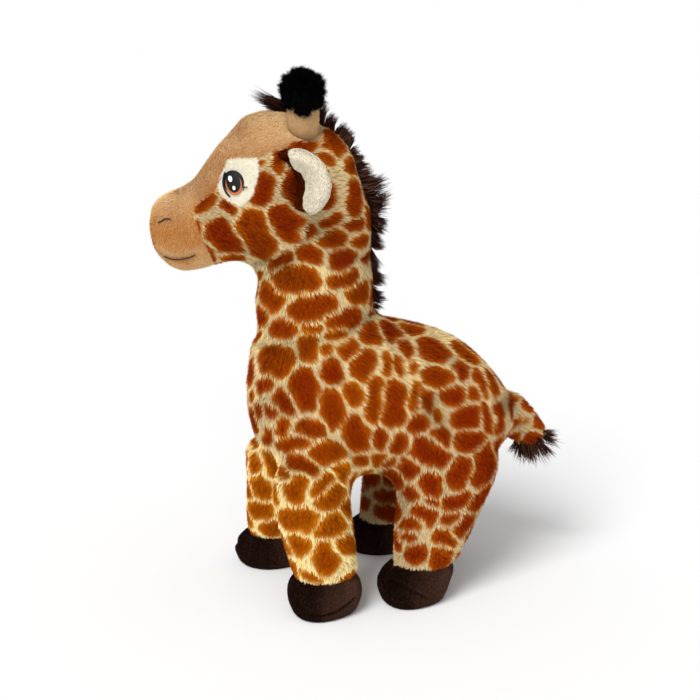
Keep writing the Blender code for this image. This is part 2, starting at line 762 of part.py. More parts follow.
def leg_rings(leg, grow, segments, low_z):
    """The leg from its ball down to the ankle, in the hip's frame."""
    rings = []
    radius = leg.hip_radius + grow
    half_width = leg.hip_half_width + grow
    for latitude in LEG_BALL_LATITUDES:
        angle = math.radians(latitude)
        centre = Vector((0.0, 0.0, radius * math.sin(angle)))
        across = Vector((half_width * math.cos(angle), 0.0, 0.0))
        forward = Vector((0.0, radius * math.cos(angle), 0.0))
        rings.append(oval(centre, across, forward, segments, 2.0))
    ball_end = math.radians(LEG_BALL_LATITUDES[-1])
    start = Vector((0.0, 0.0, leg.hip_radius * math.sin(ball_end)))
    start_depth, start_width = leg.hip_radius * math.cos(ball_end), leg.hip_half_width * math.cos(ball_end)
    drop = leg.ankle - leg.hip - start
    for share in LEG_RING_SHARES:
        last = share == LEG_RING_SHARES[-1]
        centre = start + drop * ((low_z - leg.hip.z - start.z) / drop.z if last else share)
        depth = start_depth + (leg.ankle_radius - start_depth) * share + grow
        width = start_width + (ANKLE_HALF_WIDTH - start_width) * share + grow
        rings.append(oval(centre, Vector((width, 0.0, 0.0)), Vector((0.0, depth, 0.0)), segments, 2.0))
    return rings


def leg_mesh(name, leg, grow, segments, low_z):
    top = Vector((0.0, 0.0, leg.hip_radius + grow))
    return loft_mesh(name, leg_rings(leg, grow, segments, low_z), start=top)


def hoof_rings(leg, grow, segments, overrun=0.0):
    """The hoof's upper from the sole to the ankle, in the hip's frame. An overrun carries both ends on."""
    rings = []
    base = SOLE_THICKNESS + SEAM_GAP
    top = ANKLE_Z - SEAM_GAP
    for rise, bulge, blend in HOOF_RING_SHARES:
        centre = leg.hoof.lerp(leg.ankle, blend)
        centre.z = base + (top - base) * rise
        depth = (HOOF_LENGTH / 2.0 * (1.0 - blend) + leg.ankle_radius * blend) * bulge + grow
        width = (HOOF_WIDTH / 2.0 * (1.0 - blend) + ANKLE_HALF_WIDTH * blend) * bulge + grow
        across, forward = Vector((width, 0.0, 0.0)), Vector((0.0, depth, 0.0))
        rings.append(oval(centre - leg.hip, across, forward, segments, HOOF_SQUARENESS))
    if overrun:
        rings.insert(0, [point - Vector((0.0, 0.0, overrun)) for point in rings[0]])
        rings.append([point + Vector((0.0, 0.0, overrun)) for point in rings[-1]])
    return rings


def leg_filling_mesh(name, leg):
    """One stuffing from the ball through the ankle down to the sole."""
    rings = leg_rings(leg, FILLING_SHRINK, FILLING_LIMB_SEGMENTS, ANKLE_Z)
    rings += reversed(hoof_rings(leg, HOOF_FILLING_SHRINK, FILLING_LIMB_SEGMENTS)[:-1])
    top = Vector((0.0, 0.0, leg.hip_radius + FILLING_SHRINK))
    return loft_mesh(name, rings, start=top)


def sole_mesh(name, leg):
    """A flat sole with a rounded lower edge."""
    rings = []
    for height, inset in ((0.0, SOLE_EDGE), (SOLE_EDGE, 0.0), (SOLE_THICKNESS, 0.0)):
        centre = Vector((leg.hoof.x, leg.hoof.y, height)) - leg.hip
        across = Vector((HOOF_WIDTH / 2.0 - inset, 0.0, 0.0))
        forward = Vector((0.0, HOOF_LENGTH / 2.0 - inset, 0.0))
        rings.append(oval(centre, across, forward, LIMB_SEGMENTS, HOOF_SQUARENESS))
    return loft_mesh(name, rings)


# Assembly

giraffe = axis_empty("giraffe_middle", -GIRAFFE_MIDDLE)
neck_axis = axis_empty("neck_bend_axis", Vector((0.0, NECK_AXIS_Y, NECK_PIVOT_Z)), giraffe)
throat = Vector((0.0, 0.0, THROAT_Z - NECK_PIVOT_Z))
head_axis = axis_empty("head_turn_axis", throat, neck_axis, HEAD_TURN_AT_REST)


def build_torso():
    """The torso's skin and stuffing, with the neck opening and four leg openings."""
    skin = add_piece("torso_skin", torso_mesh("torso_skin", 0.0, BODY_SEGMENTS), giraffe, PATTERNED_PLUSH)
    hollow_mesh = torso_mesh("torso_hollow", -PLUSH_THICKNESS, FILLING_BODY_SEGMENTS, True)
    combine(skin, add_cutter("torso_hollow", hollow_mesh, giraffe))
    filling_mesh = torso_mesh("torso_filling", FILLING_SHRINK, FILLING_BODY_SEGMENTS)
    filling = add_piece("torso_filling", filling_mesh, giraffe, POLYESTER_FILLING)
    neck_depth = NECK_DEPTH * NECK_RING_SHARES[0][1] + JOINT_GAP
    neck_width = NECK_WIDTH / 2.0 * NECK_RING_SHARES[0][3] + JOINT_GAP
    neck_ball = ball_mesh("neck_socket", Vector(), neck_width, neck_depth)
    sockets = [add_cutter("neck_socket", neck_ball, neck_axis)]
    for leg in LEGS:
        mesh = ball_mesh(
            f"{leg.name}_socket", leg.hip, leg.hip_half_width + JOINT_GAP, leg.hip_radius + JOINT_GAP,
        )
        sockets.append(add_cutter(f"{leg.name}_socket", mesh, giraffe))
    for socket in sockets:
        combine(skin, socket)
        combine(filling, socket)
    return skin, filling


def build_neck():
    """The neck's skin and stuffing, open towards the head."""
    top = THROAT_Z - SEAM_GAP
    overrun_top = THROAT_Z + CUT_OVERRUN
    skin_mesh = neck_mesh("neck_skin", 0.0, BODY_SEGMENTS, top)
    skin = add_piece("neck_skin", skin_mesh, neck_axis, PATTERNED_PLUSH)
    hollow_mesh = neck_mesh("neck_hollow", -PLUSH_THICKNESS, FILLING_BODY_SEGMENTS, overrun_top)
    combine(skin, add_cutter("neck_hollow", hollow_mesh, neck_axis))
    filling_mesh = neck_mesh("neck_filling", FILLING_SHRINK, FILLING_BODY_SEGMENTS, top)
    add_piece("neck_filling", filling_mesh, neck_axis, POLYESTER_FILLING)


def head_form(name, grow, segments, opened=False):
    """The whole head as one hidden closed shape: cheeks and muzzle joined with the nape."""
    form = add_cutter(name, head_ball_mesh(name, grow, segments), head_axis)
    nape = add_cutter(f"{name}_nape", nape_mesh(f"{name}_nape", grow, segments, opened), head_axis)
    return combine(form, nape, "UNION")


def head_prism(name, shares, grow=0.0, low_x=-HEAD_WIDTH, high_x=HEAD_WIDTH):
    """A hidden side view shape across the head."""
    return add_cutter(name, prism_mesh(name, side_outline(shares, grow), low_x, high_x), head_axis)


def head_panel(name, material, region, limits, cuts):
    """A panel of the head's skin: a region limited to the head's outline, with its cuts taken out."""
    panel = add_piece(name, region, head_axis, material)
    for limit in limits:
        combine(panel, limit, "INTERSECT")
    for cut in cuts:
        combine(panel, cut)
    return panel


def build_head(sockets):
    """The head's panels and stuffing, with seats for the horns."""
    outer = head_form("head_outer", 0.0, BODY_SEGMENTS)
    hollow = head_form("head_hollow", -PLUSH_THICKNESS, FILLING_BODY_SEGMENTS, True)
    face_outline = FACE_SEAM_SHARES + FACE_FRONT_SHARES
    mouth_outline = MOUTH_SEAM_SHARES + CHIN_FRONT_SHARES
    face_cut = head_prism("face_cut", face_outline, SEAM_GAP)
    chin_region = head_prism("chin_region", mouth_outline)
    chin_cut = head_prism("chin_cut", mouth_outline, SEAM_GAP)
    patches, holes = [], []
    for side_name, side in SIDES:
        near, far = side * SEAM_GAP, side * HEAD_WIDTH
        holes.append(head_prism(f"{side_name}_patch_cut", EYE_PATCH_SHARES, 0.0, near, far))
        patch_outline = side_outline(EYE_PATCH_SHARES, -SEAM_GAP)
        patches.append(prism_mesh(f"eye_patch_{side_name}", patch_outline, near, far))
    skin = add_piece("head_skin", head_ball_mesh("head_skin", 0.0, BODY_SEGMENTS), head_axis, PATTERNED_PLUSH)
    combine(skin, bpy.data.objects["head_outer_nape"], "UNION")
    for cut in (face_cut, hollow, *holes, *sockets):
        combine(skin, cut)
    face_mesh = prism_mesh("face_panel", side_outline(face_outline), -HEAD_WIDTH, HEAD_WIDTH)
    head_panel("face_panel", TAN_PLUSH, face_mesh, (outer,), (hollow, chin_cut, *holes, *sockets))
    chin_mesh = prism_mesh("chin_panel", side_outline(face_outline), -HEAD_WIDTH, HEAD_WIDTH)
    head_panel("chin_panel", TAN_PLUSH, chin_mesh, (chin_region, outer), (hollow,))
    for (side_name, _), mesh in zip(SIDES, patches):
        head_panel(f"eye_patch_{side_name}", CREAM_PLUSH, mesh, (outer,), (hollow,))
    filling_mesh = head_ball_mesh("head_filling", FILLING_SHRINK, FILLING_BODY_SEGMENTS)
    filling = add_piece("head_filling", filling_mesh, head_axis, POLYESTER_FILLING)
    nape_filling_mesh = nape_mesh("nape_filling", FILLING_SHRINK, FILLING_BODY_SEGMENTS)
    combine(filling, add_cutter("nape_filling", nape_filling_mesh, head_axis), "UNION")
    for socket in sockets:
        combine(filling, socket)
    build_eyes()
    return skin


def build_eyes():
    """The embroidered eyes, domed like the cheek that they lie on."""
    under = add_cutter("eye_bed", head_ball_mesh("eye_bed", SEAM_GAP, BODY_SEGMENTS), head_axis)
    over_mesh = head_ball_mesh("eye_top", SEAM_GAP + EYE_THICKNESS, BODY_SEGMENTS)
    over = add_cutter("eye_top", over_mesh, head_axis)
    for side_name, side in SIDES:
        name = f"eye_{side_name}"
        length = Vector((0.0, math.cos(EYE_TILT), math.sin(EYE_TILT))) * (EYE_LENGTH / 2.0)
        height = Vector((0.0, -math.sin(EYE_TILT), math.cos(EYE_TILT))) * (EYE_HEIGHT / 2.0)
        rings = []
        for distance in (HEAD_WIDTH / 4.0, HEAD_WIDTH):
            centre = Vector((side * distance, -EYE_REACH, EYE_RISE))
            rings.append(oval(centre, length, height, LIMB_SEGMENTS, 2.0))
        eye = add_piece(name, loft_mesh(name, rings), head_axis, EYE_THREAD)
        combine(eye, over, "INTERSECT")
        combine(eye, under)


def build_ears(skin):
    """The ears' outer layers with their roots, and their linings."""
    for side_name, side in SIDES:
        root, _, _, _ = ear_frame(side)
        axis = axis_empty(f"ear_{side_name}_axis", root, head_axis)
        lining_back = EAR_OUTER_THICKNESS + SEAM_GAP
        outer_mesh = ear_layer_mesh(f"ear_{side_name}_outer", side, 0.0, EAR_OUTER_THICKNESS)
        outer = add_piece(f"ear_{side_name}_outer", outer_mesh, axis, PATTERNED_PLUSH)
        rod_mesh = ear_root_mesh(f"ear_{side_name}_root", side, 0.0)
        combine(outer, add_cutter(f"ear_{side_name}_root", rod_mesh, axis), "UNION")
        lining_front = lining_back + EAR_LINING_THICKNESS
        lining_mesh = ear_layer_mesh(f"ear_{side_name}_lining", side, lining_back, lining_front)
        lining = add_piece(f"ear_{side_name}_lining", lining_mesh, axis, CREAM_PLUSH)
        trim_mesh = ear_root_mesh(f"ear_{side_name}_root_trim", side, SEAM_GAP)
        combine(lining, add_cutter(f"ear_{side_name}_root_trim", trim_mesh, axis))
        seat_mesh = ear_root_mesh(f"ear_{side_name}_seat", side, JOINT_GAP)
        combine(skin, add_cutter(f"ear_{side_name}_seat", seat_mesh, axis))


def build_horns():
    """The horns' stems and pompoms. Gives the seats to cut in the crown."""
    sockets = []
    for side_name, side in SIDES:
        seat = Vector((side * HORN_SIDE, -HORN_REACH, HORN_RISE))
        axis = axis_empty(f"horn_{side_name}_axis", seat, head_axis)
        stem = add_piece(f"horn_{side_name}", horn_mesh(f"horn_{side_name}", side, 0.0), axis, TAN_PLUSH)
        pompom = add_piece(f"pompom_{side_name}", pompom_mesh(f"pompom_{side_name}", side), axis, BLACK_PILE)
        sleeve_mesh = horn_mesh(f"pompom_{side_name}_seat", side, SEAM_GAP)
        combine(pompom, add_cutter(f"pompom_{side_name}_seat", sleeve_mesh, axis))
        radius = HORN_RADIUS + JOINT_GAP
        socket_mesh = ball_mesh(f"horn_{side_name}_socket", Vector(), radius, radius)
        sockets.append(add_cutter(f"horn_{side_name}_socket", socket_mesh, axis))
    return sockets


def strip_stations(profile, pitch):
    """Even stations along a side view profile, with the directions away from the body."""
    points = np.array([(point.y, point.z) for point in profile])
    steps = np.linalg.norm(np.diff(points, axis=0), axis=1)
    along = np.concatenate(([0.0], np.cumsum(steps)))
    count = 2 * max(round(along[-1] / pitch), 2)
    places = np.linspace(0.0, along[-1], count + 1)
    y = np.interp(places, along, points[:, 0])
    z = np.interp(places, along, points[:, 1])
    slope_y, slope_z = np.gradient(y), np.gradient(z)
    length = np.hypot(slope_y, slope_z)
    roots = [Vector((0.0, a, b)) for a, b in zip(y, z)]
    outwards = [Vector((0.0, -b, a)) for a, b in zip(slope_y / length, slope_z / length)]
    return roots, outwards, places / along[-1]


def mane_piece(name, profile, reach_shares, lean, parent, beds):
    """One length of the mane, seated on the skins below it."""
    roots, outwards, shares = strip_stations(profile, LOCK_PITCH)
    known = np.linspace(0.0, 1.0, len(reach_shares))
    reaches = [float(np.interp(share, known, reach_shares)) * MANE_REACH for share in shares]
    mane = add_piece(name, lock_strip_mesh(name, roots, outwards, reaches, lean), parent, MANE_PILE)
    for bed in beds:
        combine(mane, bed)
    return mane


def build_mane():
    """Forelock and crown on the head, and the rest on the neck."""
    head_bed = add_cutter("head_bed", head_ball_mesh("head_bed", SEAM_GAP, BODY_SEGMENTS), head_axis)
    nape_bed = add_cutter("nape_bed", nape_mesh("nape_bed", SEAM_GAP, BODY_SEGMENTS), head_axis)
    brow = []
    table = HEAD_SECTION_SHARES
    for share in np.linspace(FORELOCK_START_SHARE, FORELOCK_END_SHARE, FORELOCK_STATIONS):
        top = float(np.interp(share, [row[0] for row in table], [row[1] for row in table]))
        brow.append(head_point(float(share), top))
    head_beds = (head_bed, nape_bed)
    mane_piece("mane_forelock", brow, FORELOCK_REACH_SHARES, -FORELOCK_LEAN, head_axis, head_beds)
    crown = [brow[-1] + Vector((0.0, 2.0 * SEAM_GAP, 0.0))]
    crown.append(Vector((0.0, 0.0, NAPE_POLE_SHARE * NAPE_HEIGHT)))
    for row in reversed(NAPE_RING_SHARES):
        rise, _, back, _ = nape_ring_place(row)
        crown.append(Vector((0.0, back, max(rise, MANE_END_CLEARANCE))))
    mane_piece("mane_crown", crown, MANE_CROWN_REACH_SHARES, LOCK_LEAN, head_axis, head_beds)
    neck_bed_mesh = neck_mesh("neck_bed", SEAM_GAP, BODY_SEGMENTS, THROAT_Z - SEAM_GAP)
    neck_bed = add_cutter("neck_bed", neck_bed_mesh, neck_axis)
    back_line = []
    table = NECK_RING_SHARES
    low, high = MANE_END_CLEARANCE, THROAT_Z - NECK_PIVOT_Z - 2.0 * SEAM_GAP
    for rise in np.linspace(1.0, 0.0, NECK_LINE_STATIONS):
        back = float(np.interp(rise, [row[0] for row in table], [row[2] for row in table]))
        height = low + (high - low) * float(rise)
        back_line.append(Vector((0.0, back * NECK_DEPTH, height)))
    mane_piece("mane_neck", back_line, MANE_NECK_REACH_SHARES, LOCK_LEAN, neck_axis, (neck_bed,))


def build_tail(skin):
    """The tail and its fringe on their upright root axis."""
    axis = axis_empty("tail_axis", Vector((0.0, TAIL_ROOT_Y, TAIL_ROOT_Z)), giraffe)
    axis.rotation_euler = (TAIL_ROOT_TILT, 0.0, 0.0)
    add_piece("tail_skin", tail_mesh("tail_skin"), axis, PATTERNED_PLUSH)
    add_piece("tail_fringe", fringe_mesh("tail_fringe"), axis, MANE_PILE)
    radius = TAIL_THICKNESS / 2.0 + JOINT_GAP
    rings = []
    for end in (-1.0, 1.0):
        centre = Vector((0.0, 0.0, end * (TAIL_WIDTH / 2.0 + JOINT_GAP)))
        rings.append(oval(centre, Vector((radius, 0.0, 0.0)), Vector((0.0, radius, 0.0)), BALL_SEGMENTS, 2.0))
    combine(skin, add_cutter("tail_seat", loft_mesh("tail_seat", rings), axis))


def build_leg(leg):
    """One leg: skin, stuffing, hoof upper and sole."""
    axis = axis_empty(f"{leg.name}_hip_axis", leg.hip, giraffe)
    skin_mesh = leg_mesh(f"leg_{leg.name}_skin", leg, 0.0, LIMB_SEGMENTS, ANKLE_Z)
    skin = add_piece(f"leg_{leg.name}_skin", skin_mesh, axis, PATTERNED_PLUSH)
    hollow_name = f"leg_{leg.name}_hollow"
    hollow_mesh = leg_mesh(hollow_name, leg, -PLUSH_THICKNESS, FILLING_LIMB_SEGMENTS, ANKLE_Z - CUT_OVERRUN)
    combine(skin, add_cutter(hollow_name, hollow_mesh, axis))
    filling_name = f"leg_{leg.name}_filling"
    add_piece(filling_name, leg_filling_mesh(filling_name, leg), axis, POLYESTER_FILLING)
    upper_mesh = loft_mesh(f"hoof_{leg.name}_upper", hoof_rings(leg, 0.0, LIMB_SEGMENTS))
    upper = add_piece(f"hoof_{leg.name}_upper", upper_mesh, axis, BROWN_VELBOA)
    bore_rings = hoof_rings(leg, -VELBOA_THICKNESS, FILLING_LIMB_SEGMENTS, CUT_OVERRUN)
    combine(upper, add_cutter(f"hoof_{leg.name}_bore", loft_mesh(f"hoof_{leg.name}_bore", bore_rings), axis))
    add_piece(f"hoof_{leg.name}_sole", sole_mesh(f"hoof_{leg.name}_sole", leg), axis, BROWN_VELBOA)


torso_skin, torso_filling = build_torso()
build_neck()
head_skin = build_head(build_horns())
build_ears(head_skin)
build_mane()
build_tail(torso_skin)
for each_leg in LEGS:
    build_leg(each_leg)
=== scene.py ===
"""Plush giraffe: cloth skins, grown pile, embroidery and studio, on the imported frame."""

import json
import logging
import math
from dataclasses import dataclass
from enum import Enum

import bpy
import numpy as np
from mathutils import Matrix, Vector
from mathutils.bvhtree import BVHTree

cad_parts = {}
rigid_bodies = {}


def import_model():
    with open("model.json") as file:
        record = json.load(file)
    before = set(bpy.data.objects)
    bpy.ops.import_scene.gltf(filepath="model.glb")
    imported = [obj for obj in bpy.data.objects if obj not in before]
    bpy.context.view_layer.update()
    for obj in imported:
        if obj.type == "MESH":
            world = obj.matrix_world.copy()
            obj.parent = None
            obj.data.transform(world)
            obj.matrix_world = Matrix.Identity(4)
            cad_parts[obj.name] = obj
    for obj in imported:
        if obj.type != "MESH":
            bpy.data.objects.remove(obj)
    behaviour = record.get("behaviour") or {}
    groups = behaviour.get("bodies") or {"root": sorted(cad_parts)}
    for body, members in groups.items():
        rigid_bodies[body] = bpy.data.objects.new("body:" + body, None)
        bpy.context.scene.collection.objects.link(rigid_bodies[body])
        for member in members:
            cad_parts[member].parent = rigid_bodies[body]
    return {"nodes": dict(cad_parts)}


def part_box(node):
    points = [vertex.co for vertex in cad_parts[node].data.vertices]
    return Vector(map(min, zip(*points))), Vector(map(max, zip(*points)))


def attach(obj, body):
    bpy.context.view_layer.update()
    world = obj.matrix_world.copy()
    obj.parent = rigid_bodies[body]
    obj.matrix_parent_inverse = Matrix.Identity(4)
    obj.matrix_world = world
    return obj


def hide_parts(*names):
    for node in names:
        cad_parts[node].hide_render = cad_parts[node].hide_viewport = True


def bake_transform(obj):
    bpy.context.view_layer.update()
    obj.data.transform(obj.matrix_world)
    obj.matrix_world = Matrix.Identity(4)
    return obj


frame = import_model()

logging.basicConfig(level=logging.INFO, format="%(message)s")
log = logging.getLogger("giraffe")

MM = 0.001


def srgb(code: str) -> tuple[float, float, float, float]:
    """Turns an sRGB hex colour into the linear colour that a shader takes.

    Args:
        code: the colour as "#RRGGBB".

    Returns:
        Linear red, green, blue and an alpha of 1.
    """
    values = [int(code[i : i + 2], 16) / 255 for i in (1, 3, 5)]
    return tuple(v / 12.92 if v <= 0.04045 else ((v + 0.055) / 1.055) ** 2.4 for v in values) + (1.0,)


# --------------------------------------------------------------------------------------
# Camera
# --------------------------------------------------------------------------------------


@dataclass(frozen=True)
class Lens:
    """The photograph's camera, which also turns picture places into places on the toy."""

    eye: tuple[float, float, float] = (0.9737, -0.3517, 0.43)
    target: tuple[float, float, float] = (0.0282, -0.0261, 0.1935)
    focal_px: float = 1370.0
    side_px: float = 700.0

    def axes(self) -> tuple[np.ndarray, np.ndarray, np.ndarray]:
        """Returns the forward, right and up directions."""
        forward = np.array(self.target) - np.array(self.eye)
        forward /= np.linalg.norm(forward)
        right = np.cross(forward, (0.0, 0.0, 1.0))
        right /= np.linalg.norm(right)
        return forward, right, np.cross(right, forward)

    def project(self, points: np.ndarray) -> np.ndarray:
        """Returns the picture places of some points, in pixels from the top left."""
        forward, right, up = self.axes()
        away = points - np.array(self.eye)
        depth = away @ forward
        x = self.side_px / 2 + self.focal_px * (away @ right) / depth
        y = self.side_px / 2 - self.focal_px * (away @ up) / depth
        return np.stack([x, y], axis=1)

    def ray(self, x: float, y: float) -> np.ndarray:
        """Returns the direction from the eye through a picture place."""
        forward, right, up = self.axes()
        half = self.side_px / 2
        way = forward * self.focal_px + right * (x - half) - up * (y - half)
        return way / np.linalg.norm(way)

    def build(self) -> bpy.types.Object:
        """Makes the camera and returns it."""
        data = bpy.data.cameras.new("photo_camera")
        data.sensor_width = 36.0
        data.lens = self.focal_px / self.side_px * data.sensor_width
        data.clip_start, data.clip_end = 0.05, 60.0
        camera = bpy.data.objects.new("photo_camera", data)
        bpy.context.scene.collection.objects.link(camera)
        camera.location = self.eye
        camera.rotation_euler = (Vector(self.target) - Vector(self.eye)).to_track_quat("-Z", "Y").to_euler()
        bpy.context.scene.camera = camera
        return camera


LENS = Lens()


# --------------------------------------------------------------------------------------
# Small mesh and number helpers
# --------------------------------------------------------------------------------------


def mesh_object(name: str, points: np.ndarray, faces: list) -> bpy.types.Object:
    """Links a mesh object made of points and faces.

    Args:
        name: the piece's name.
        points: one row per vertex, in metres.
        faces: vertex numbers of each face, anticlockwise seen from outside.

    Returns:
        The new object, smooth shaded.
    """
    mesh = bpy.data.meshes.new(name)
    mesh.from_pydata([tuple(map(float, p)) for p in points], [], [tuple(map(int, f)) for f in faces])
    mesh.shade_smooth()
    obj = bpy.data.objects.new(name, mesh)
    bpy.context.scene.collection.objects.link(obj)
    return obj


def coordinates(mesh: bpy.types.Mesh) -> np.ndarray:
    """Returns a mesh's vertex places, one row each."""
    out = np.zeros(len(mesh.vertices) * 3, np.float32)
    mesh.vertices.foreach_get("co", out)
    return out.reshape(-1, 3).astype(float)


def vertex_normals(mesh: bpy.types.Mesh) -> np.ndarray:
    """Returns a mesh's vertex normals, one row each."""
    out = np.zeros(len(mesh.vertices) * 3, np.float32)
    mesh.vertex_normals.foreach_get("vector", out)
    return out.reshape(-1, 3).astype(float)


def store(mesh: bpy.types.Mesh, name: str, values: np.ndarray) -> None:
    """Writes one number or one vector per vertex as a named attribute."""
    kind, key = ("FLOAT_VECTOR", "vector") if values.ndim == 2 else ("FLOAT", "value")
    old = mesh.attributes.get(name)
    if old is not None:
        mesh.attributes.remove(old)
    layer = mesh.attributes.new(name, kind, "POINT")
    layer.data.foreach_set(key, np.ascontiguousarray(values, np.float32).ravel())


def unit(vectors: np.ndarray) -> np.ndarray:
    """Returns vectors of length 1 along each row."""
    return vectors / np.maximum(np.linalg.norm(vectors, axis=-1, keepdims=True), 1e-9)


def waves(points: np.ndarray, pitch: float, seed: int) -> np.ndarray:
    """Smooth random vectors that vary over space.

    Args:
        points: where to read them.
        pitch: length over which they change, in metres.
        seed: which field.

    Returns:
        One vector per point, each part from about -1 to 1.
    """
    rng = np.random.default_rng(seed)
    total = np.zeros_like(points)
    for _ in range(5):
        ways = unit(rng.normal(size=(3, 3))) * rng.uniform(0.7, 1.5, (3, 1)) * 2 * math.pi / pitch
        total += np.sin(points @ ways.T + rng.uniform(0, 2 * math.pi, 3))
    return total / 2.4


def line_distance(places: np.ndarray, line: tuple) -> np.ndarray:
    """Returns the distance from each 2-D place to an open line of corners."""
    best = np.full(len(places), 1e9)
    for a, b in zip(line[:-1], line[1:]):
        a, b = np.array(a, float), np.array(b, float)
        share = np.clip(((places - a) @ (b - a)) / max((b - a) @ (b - a), 1e-12), 0, 1)
        best = np.minimum(best, np.linalg.norm(places - a - share[:, None] * (b - a), axis=1))
    return best


def room_inside(places: np.ndarray, corners: tuple) -> np.ndarray:
    """Returns each 2-D place's distance to a closed outline, positive inside it."""
    closed = tuple(corners) + (corners[0],)
    inside = np.zeros(len(places), bool)
    for (ax, ay), (bx, by) in zip(closed[:-1], closed[1:]):
        crosses = (ay > places[:, 1]) != (by > places[:, 1])
        reach = ax + (places[:, 1] - ay) / np.where(by == ay, 1e-9, by - ay) * (bx - ax)
        inside ^= crosses & (places[:, 0] < reach)
    return np.where(inside, 1.0, -1.0) * line_distance(places, closed)


# --------------------------------------------------------------------------------------
# Node helpers and finishes
# --------------------------------------------------------------------------------------


def add_node(tree: bpy.types.NodeTree, kind: str, inputs: dict | None = None, **settings) -> bpy.types.Node:
    """Adds one node to a tree.

    Args:
        tree: the shader or geometry tree.
        kind: the node's type name.
        inputs: input number or name to a value or to another node's output.
        **settings: the node's own settings.

    Returns:
        The new node.
    """
    node = tree.nodes.new(kind)
    for key, value in settings.items():
        setattr(node, key, value)
    for key, value in (inputs or {}).items():
        named = (s for s in node.inputs if s.name == key and s.enabled)
        target = node.inputs[key] if isinstance(key, int) else next(named)
        if isinstance(value, bpy.types.NodeSocket):
            tree.links.new(value, target)
        else:
            target.default_value = value
    return node


def out(node: bpy.types.Node, name: str | None = None) -> bpy.types.NodeSocket:
    """Returns a node's first enabled output, or the enabled one with a name."""
    return next(s for s in node.outputs if s.enabled and (name is None or s.name == name))


class Tone(Enum):
    """Colours read off the photograph, in sRGB."""

    CREAM = "#E9D09A"
    HONEY = "#D2913A"
    RUST = "#B85900"
    UMBER = "#963800"
    # painted shade: the dark brown that pile is mixed towards where shade is painted
    DUSK = "#3E1400"
    TAN = "#EAC794"
    # TAN_DEEP to TAN: darker to lighter tan, mixed by painted light and by random drifts
    TAN_DEEP = "#BE7A32"
    IVORY = "#F6F0DE"
    LINING = "#F3EAD2"
    HOOF = "#130602"
    # painted sheen: the lighter brown that the hooves' nap is mixed towards on its sheen side, and a little at random
    HOOF_LIGHT = "#563A2E"
    MANE = "#33190F"
    MANE_LIGHT = "#73544A"
    POMPOM = "#050404"
    THREAD = "#060505"
    IRIS = "#C06A3C"
    HIGHLIGHT = "#FFFFFF"
    STITCH = "#2B1A16"


